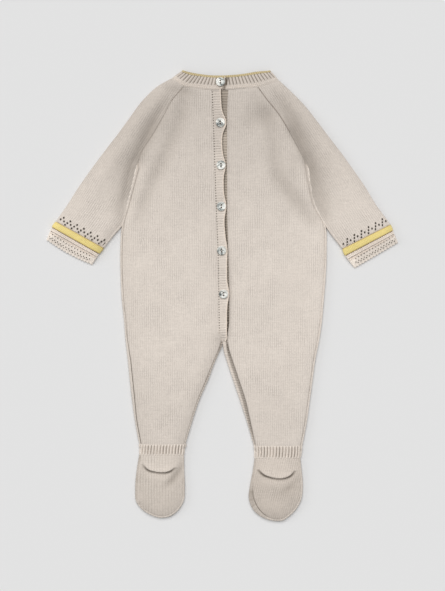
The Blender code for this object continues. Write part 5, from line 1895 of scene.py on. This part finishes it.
def on_top(places, above):
    """Places on the upper layer, raised by some height."""
    places = np.asarray(places, dtype=float)
    return with_height(places, TOP + above + lift(places))


# %% Strands on the cuffs
def straight(start, end):
    """Points of a straight line."""
    return np.array(start) + (np.array(end) - start) * np.linspace(0.0, 1.0, 40)[:, None]


# What it is, its thread, from which line of the cuff and how far to the next, height above the cloth, pitch, length
# and width of its strands in millimetres, their turn in degrees and their unevenness
CUFF_STRANDS = [
    ("fringe", PEACH_THREAD, 1, WELT_SHARES[0] - 0.05, 0.0, 1.25, 1.5, 0.75, 80, 0.2),
    ("line", BROWN_THREAD, 1, WELT_SHARES[1] + 0.04, 0.5, 2.3, 1.8, 0.95, 0, 0.12),
    ("row", PALE_THREAD, 1, 1.04, 0.1, 1.5, 2.1, 0.9, 90, 0.1),
    ("second", GREY_THREAD, 2, 0.22, 0.75, 1.9, 1.9, 0.9, 0, 0.12),
    ("third", PALE_THREAD, 2, 0.36, 0.2, 1.5, 1.7, 0.9, 90, 0.15),
]
CUFF_STRAND_INSET = 2.0


def cuff_strands(side, label):
    """The stitch lines of a cuff: fringe above the welt, brown line below it, upright row and grey line."""
    for kind, thread, first, share, above, pitch, length, width, turn, uneven in CUFF_STRANDS:
        row = cuff_row(*SLEEVE_END[side][first : first + 2], share)
        inward = unit(row[2:4] - row[:2]) * CUFF_STRAND_INSET
        line = [on_top(straight(row[:2] + inward, row[2:4] - inward), above)]
        strands(f"cuff_{kind}_{label}", thread, line, pitch, length, width, math.radians(turn), uneven)


for sign, label in SIDES:
    cuff_strands(sign, label)

# %% Strands on the placket and collar
# Sewn line of each raglan seam: steps of 1.5 mm along it, height above the cloth, width of its strands
RAGLAN_STRANDS = {-1: (2, 44, -0.3, 0.75), 1: (2, 16, -0.4, 0.6)}


def raglan_strands(side, label):
    """The sewn line of a raglan seam, drawn tight near the neck."""
    first, last, above, width = RAGLAN_STRANDS[side]
    at = RAGLAN_AT[side]
    line = on_top(Run(columns(BACK_RAGLAN, at, at + 1)).every(1.5)[first:last], above)
    strands(f"raglan_line_{label}", GREY_THREAD, [line], 1.6, 1.9, width, 0.0, 0.1)


for sign, label in reversed(SIDES):
    raglan_strands(sign, label)


def placket_strands():
    """The rolled edge of the buttonhole band and of the collar's lap, and the linking rows round the neck."""
    right = band_edge(BAND_HEIGHTS)
    left = placket_edge(BAND_HEIGHTS, 1) + 0.3
    places = np.column_stack((right - 0.5, BAND_HEIGHTS))
    height, _, _ = band_surface(places, left, right)
    roll = np.column_stack((places, height - 0.45))[::4]
    strands("placket_roll", PALE_THREAD, [roll], 1.55, 2.1, 1.7, 0.35, 0.15)
    lap = np.array([collar_line(share)[0] for share in np.linspace(0.02, 0.86, 12)])
    strands("lap_roll", PALE_THREAD, [lap - (0.3, 0.0, 0.35)], 1.55, 2.0, 1.4, 0.35, 0.15)
    rows = []
    for share in (0.10, 0.22):
        line = collar_line(share)
        rows.append(line[: COLLAR_COUNTS[0]] + (0.0, 0.0, 0.1))
        rows.append(line[-COLLAR_COUNTS[2] + 40 :] + (0.0, 0.0, 0.1))
    strands("neck_linking", PALE_THREAD, rows, 2.0, 1.5, 0.75, 0.5, 0.15)


placket_strands()

# %% [markdown]
# ## Buttons
#
# Six round pearl buttons with two holes close the placket and the collar's lap. A button is turned, so its mesh
# is a smooth section swept round; the two sewing holes are cut through it, and a loop of thread fills them.
# Each sits tilted on the cloth as the cloth slopes.

# %% Button
# Radius and height, from the middle underneath round the rim to the middle of the dish
BUTTON_PROFILE = [
    (0.0, 0.0), (3.4, 0.0), (4.8, 0.4), (5.4, 0.95), (5.45, 1.5), (5.1, 1.95), (4.6, 2.05), (4.1, 1.85),
    (3.6, 1.5), (2.6, 1.35), (0.0, 1.3),
]
BUTTON_RADIUS = max(column(BUTTON_PROFILE, 0))
BUTTON_SIDES = 72
HOLE_RADIUS = 1.05
HOLE_SPACING = 2.9
THREAD_RADIUS = 0.24
THREAD_SPAN = 0.85
BUTTON_SLOPE_REACH = 3.0
BUTTON_RISE = 0.55
DRILL_HALF = 4.0
PEARL_SCALE = 150.0

# Place on the ramp and colour: the dark end, the shell's grey with painted shade, the pale end, the shell's white with
# painted light, and between them
PEARL_ENDS = ((0.34, (0.10, 0.115, 0.11)), (0.59, (0.93, 0.91, 0.85)))
PEARL_MIDDLE = (0.46, (0.54, 0.56, 0.53))
PAINTED_LIGHT_SHARE = 0.11

# Painted light on one side of each button and painted shade on the other: direction of the lit side in degrees, and
# how strong
BUTTON_PAINTED_LIGHT = [(160.0, 0.8), (115.0, 0.4), (-60.0, 0.5), (5.0, 1.2), (25.0, 1.0), (40.0, 0.7)]


def turned(name, section, sides):
    """A solid of revolution about Z from a half section that starts and ends on the axis."""
    mesh = bpy.data.meshes.new(name)
    angles = np.arange(sides) * 2 * math.pi / sides
    rings = [[(r * math.cos(a), r * math.sin(a), z) for a in angles] for r, z in section[1:-1]]
    points = [point for ring in rings for point in ring]
    faces = []
    for ring in range(len(rings) - 1):
        for side in range(sides):
            start, after = ring * sides, (side + 1) % sides
            faces.append((start + side, start + after, start + sides + after, start + sides + side))
    bottom, top = len(points), len(points) + 1
    points += [(0.0, 0.0, section[0][1]), (0.0, 0.0, section[-1][1])]
    last = (len(rings) - 1) * sides
    for side in range(sides):
        after = (side + 1) % sides
        faces.append((after, side, bottom))
        faces.append((last + side, last + after, top))
    mesh.from_pydata([tuple(np.array(point) * MM) for point in points], [], faces)
    return mesh


def pearl_material():
    """Shell button: cloudy grey-green and near white, smooth, with a faint sheen of its layers, and painted light and
    shade across it.
    """
    material, tree, place = new_material("pearl shell")
    swirl = cloud(tree, place, PEARL_SCALE, 2.5, 1.6)
    # Painted light and shade from an attribute on the points move each button along the ramp
    light = calc(tree, "MULTIPLY_ADD", attribute(tree, "painted_light"), PAINTED_LIGHT_SHARE, swirl)
    ramp = node(tree, "ShaderNodeValToRGB", {"Fac": light})
    stops = ramp.color_ramp.elements
    for stop, (position, colour) in zip(stops, PEARL_ENDS):
        stop.position, stop.color = position, (*colour, 1.0)
    stops.new(PEARL_MIDDLE[0]).color = (*PEARL_MIDDLE[1], 1.0)
    finish(tree, ramp.outputs["Color"], swirl, 0.25, 0.25, {"Roughness": 0.22, "Coat Weight": 0.3})
    return material


PEARL = pearl_material()


def button_blank():
    """One button at the origin, its sewing holes cut."""
    steps = Run(BUTTON_PROFILE).every(0.35)
    steps[0, 0] = steps[-1, 0] = 0.0
    body = add_object("button_blank", turned("button", steps.tolist(), BUTTON_SIDES))
    drill_section = [(0.0, -DRILL_HALF), (HOLE_RADIUS, -DRILL_HALF), (HOLE_RADIUS, DRILL_HALF), (0.0, DRILL_HALF)]
    drills = []
    for side in (-1, 1):
        drill = add_object("drill", turned("drill", drill_section, 24))
        drill.location.y = side * HOLE_SPACING / 2 * MM
        cut = body.modifiers.new("sewing hole", "BOOLEAN")
        cut.operation = "DIFFERENCE"
        cut.solver = "EXACT"
        cut.object = drill
        drills.append(drill)
    bpy.context.view_layer.update()
    settle(body)
    body.data.materials.append(PEARL)
    body.data.shade_smooth()
    body.data.set_sharp_from_angle(angle=math.radians(40))
    mesh = body.data
    for thing in [body, *drills]:
        bpy.data.objects.remove(thing, do_unlink=True)
    return mesh


def seat(x, y):
    """Where a button sits: the height of the band there, and its slopes."""
    reach = BUTTON_SLOPE_REACH
    slopes = [
        float(lift((x + dx, y + dy)) - lift((x - dx, y - dy))) / (2 * reach) for dx, dy in ((reach, 0), (0, reach))
    ]
    return BAND_TOP + float(lift((x, y))) + BUTTON_RISE, slopes


def make_buttons():
    """The six buttons and the thread that sews each one on."""
    blank = button_blank()
    loops = []
    for number, (x, y) in enumerate(BUTTONS, start=1):
        height, (slope_x, slope_y) = seat(x, y)
        tilt = np.array([[1.0, 0.0, 0.0], [0.0, 1.0, 0.0], [slope_x, slope_y, 1.0]])
        mesh = blank.copy()
        mesh.name = f"pearl_{number}"
        places = np.zeros(len(mesh.vertices) * 3, dtype=np.float32)
        mesh.vertices.foreach_get("co", places)
        moved = places.reshape(-1, 3) @ tilt.T + np.array([x, y, height]) * MM
        mesh.vertices.foreach_set("co", moved.astype(np.float32).ravel())
        mesh.update()
        # Painted light on one side of each button and painted shade on the other
        degrees, amount = BUTTON_PAINTED_LIGHT[number - 1]
        heading = np.array((math.cos(math.radians(degrees)), math.sin(math.radians(degrees))))
        painted_light = places.reshape(-1, 3)[:, :2] @ heading / (BUTTON_RADIUS * MM) * amount
        mesh.attributes.new("painted_light", "FLOAT", "POINT").data.foreach_set("value", painted_light.astype(np.float32))
        thing = add_object(f"pearl_{number}", mesh)
        show_for(thing, f"button_{number}")
        angles = np.linspace(0.0, math.pi, 9)
        arch = np.column_stack((np.zeros(9), THREAD_SPAN * np.cos(angles), 1.1 + 0.4 * np.sin(angles)))
        loops.append(arch @ tilt.T + np.array([x, y, height]))
    bpy.data.meshes.remove(blank)
    strands("button_thread", PALE_THREAD, loops, 0.5, 0.9, 2 * THREAD_RADIUS, 0.0, 0.05)


make_buttons()
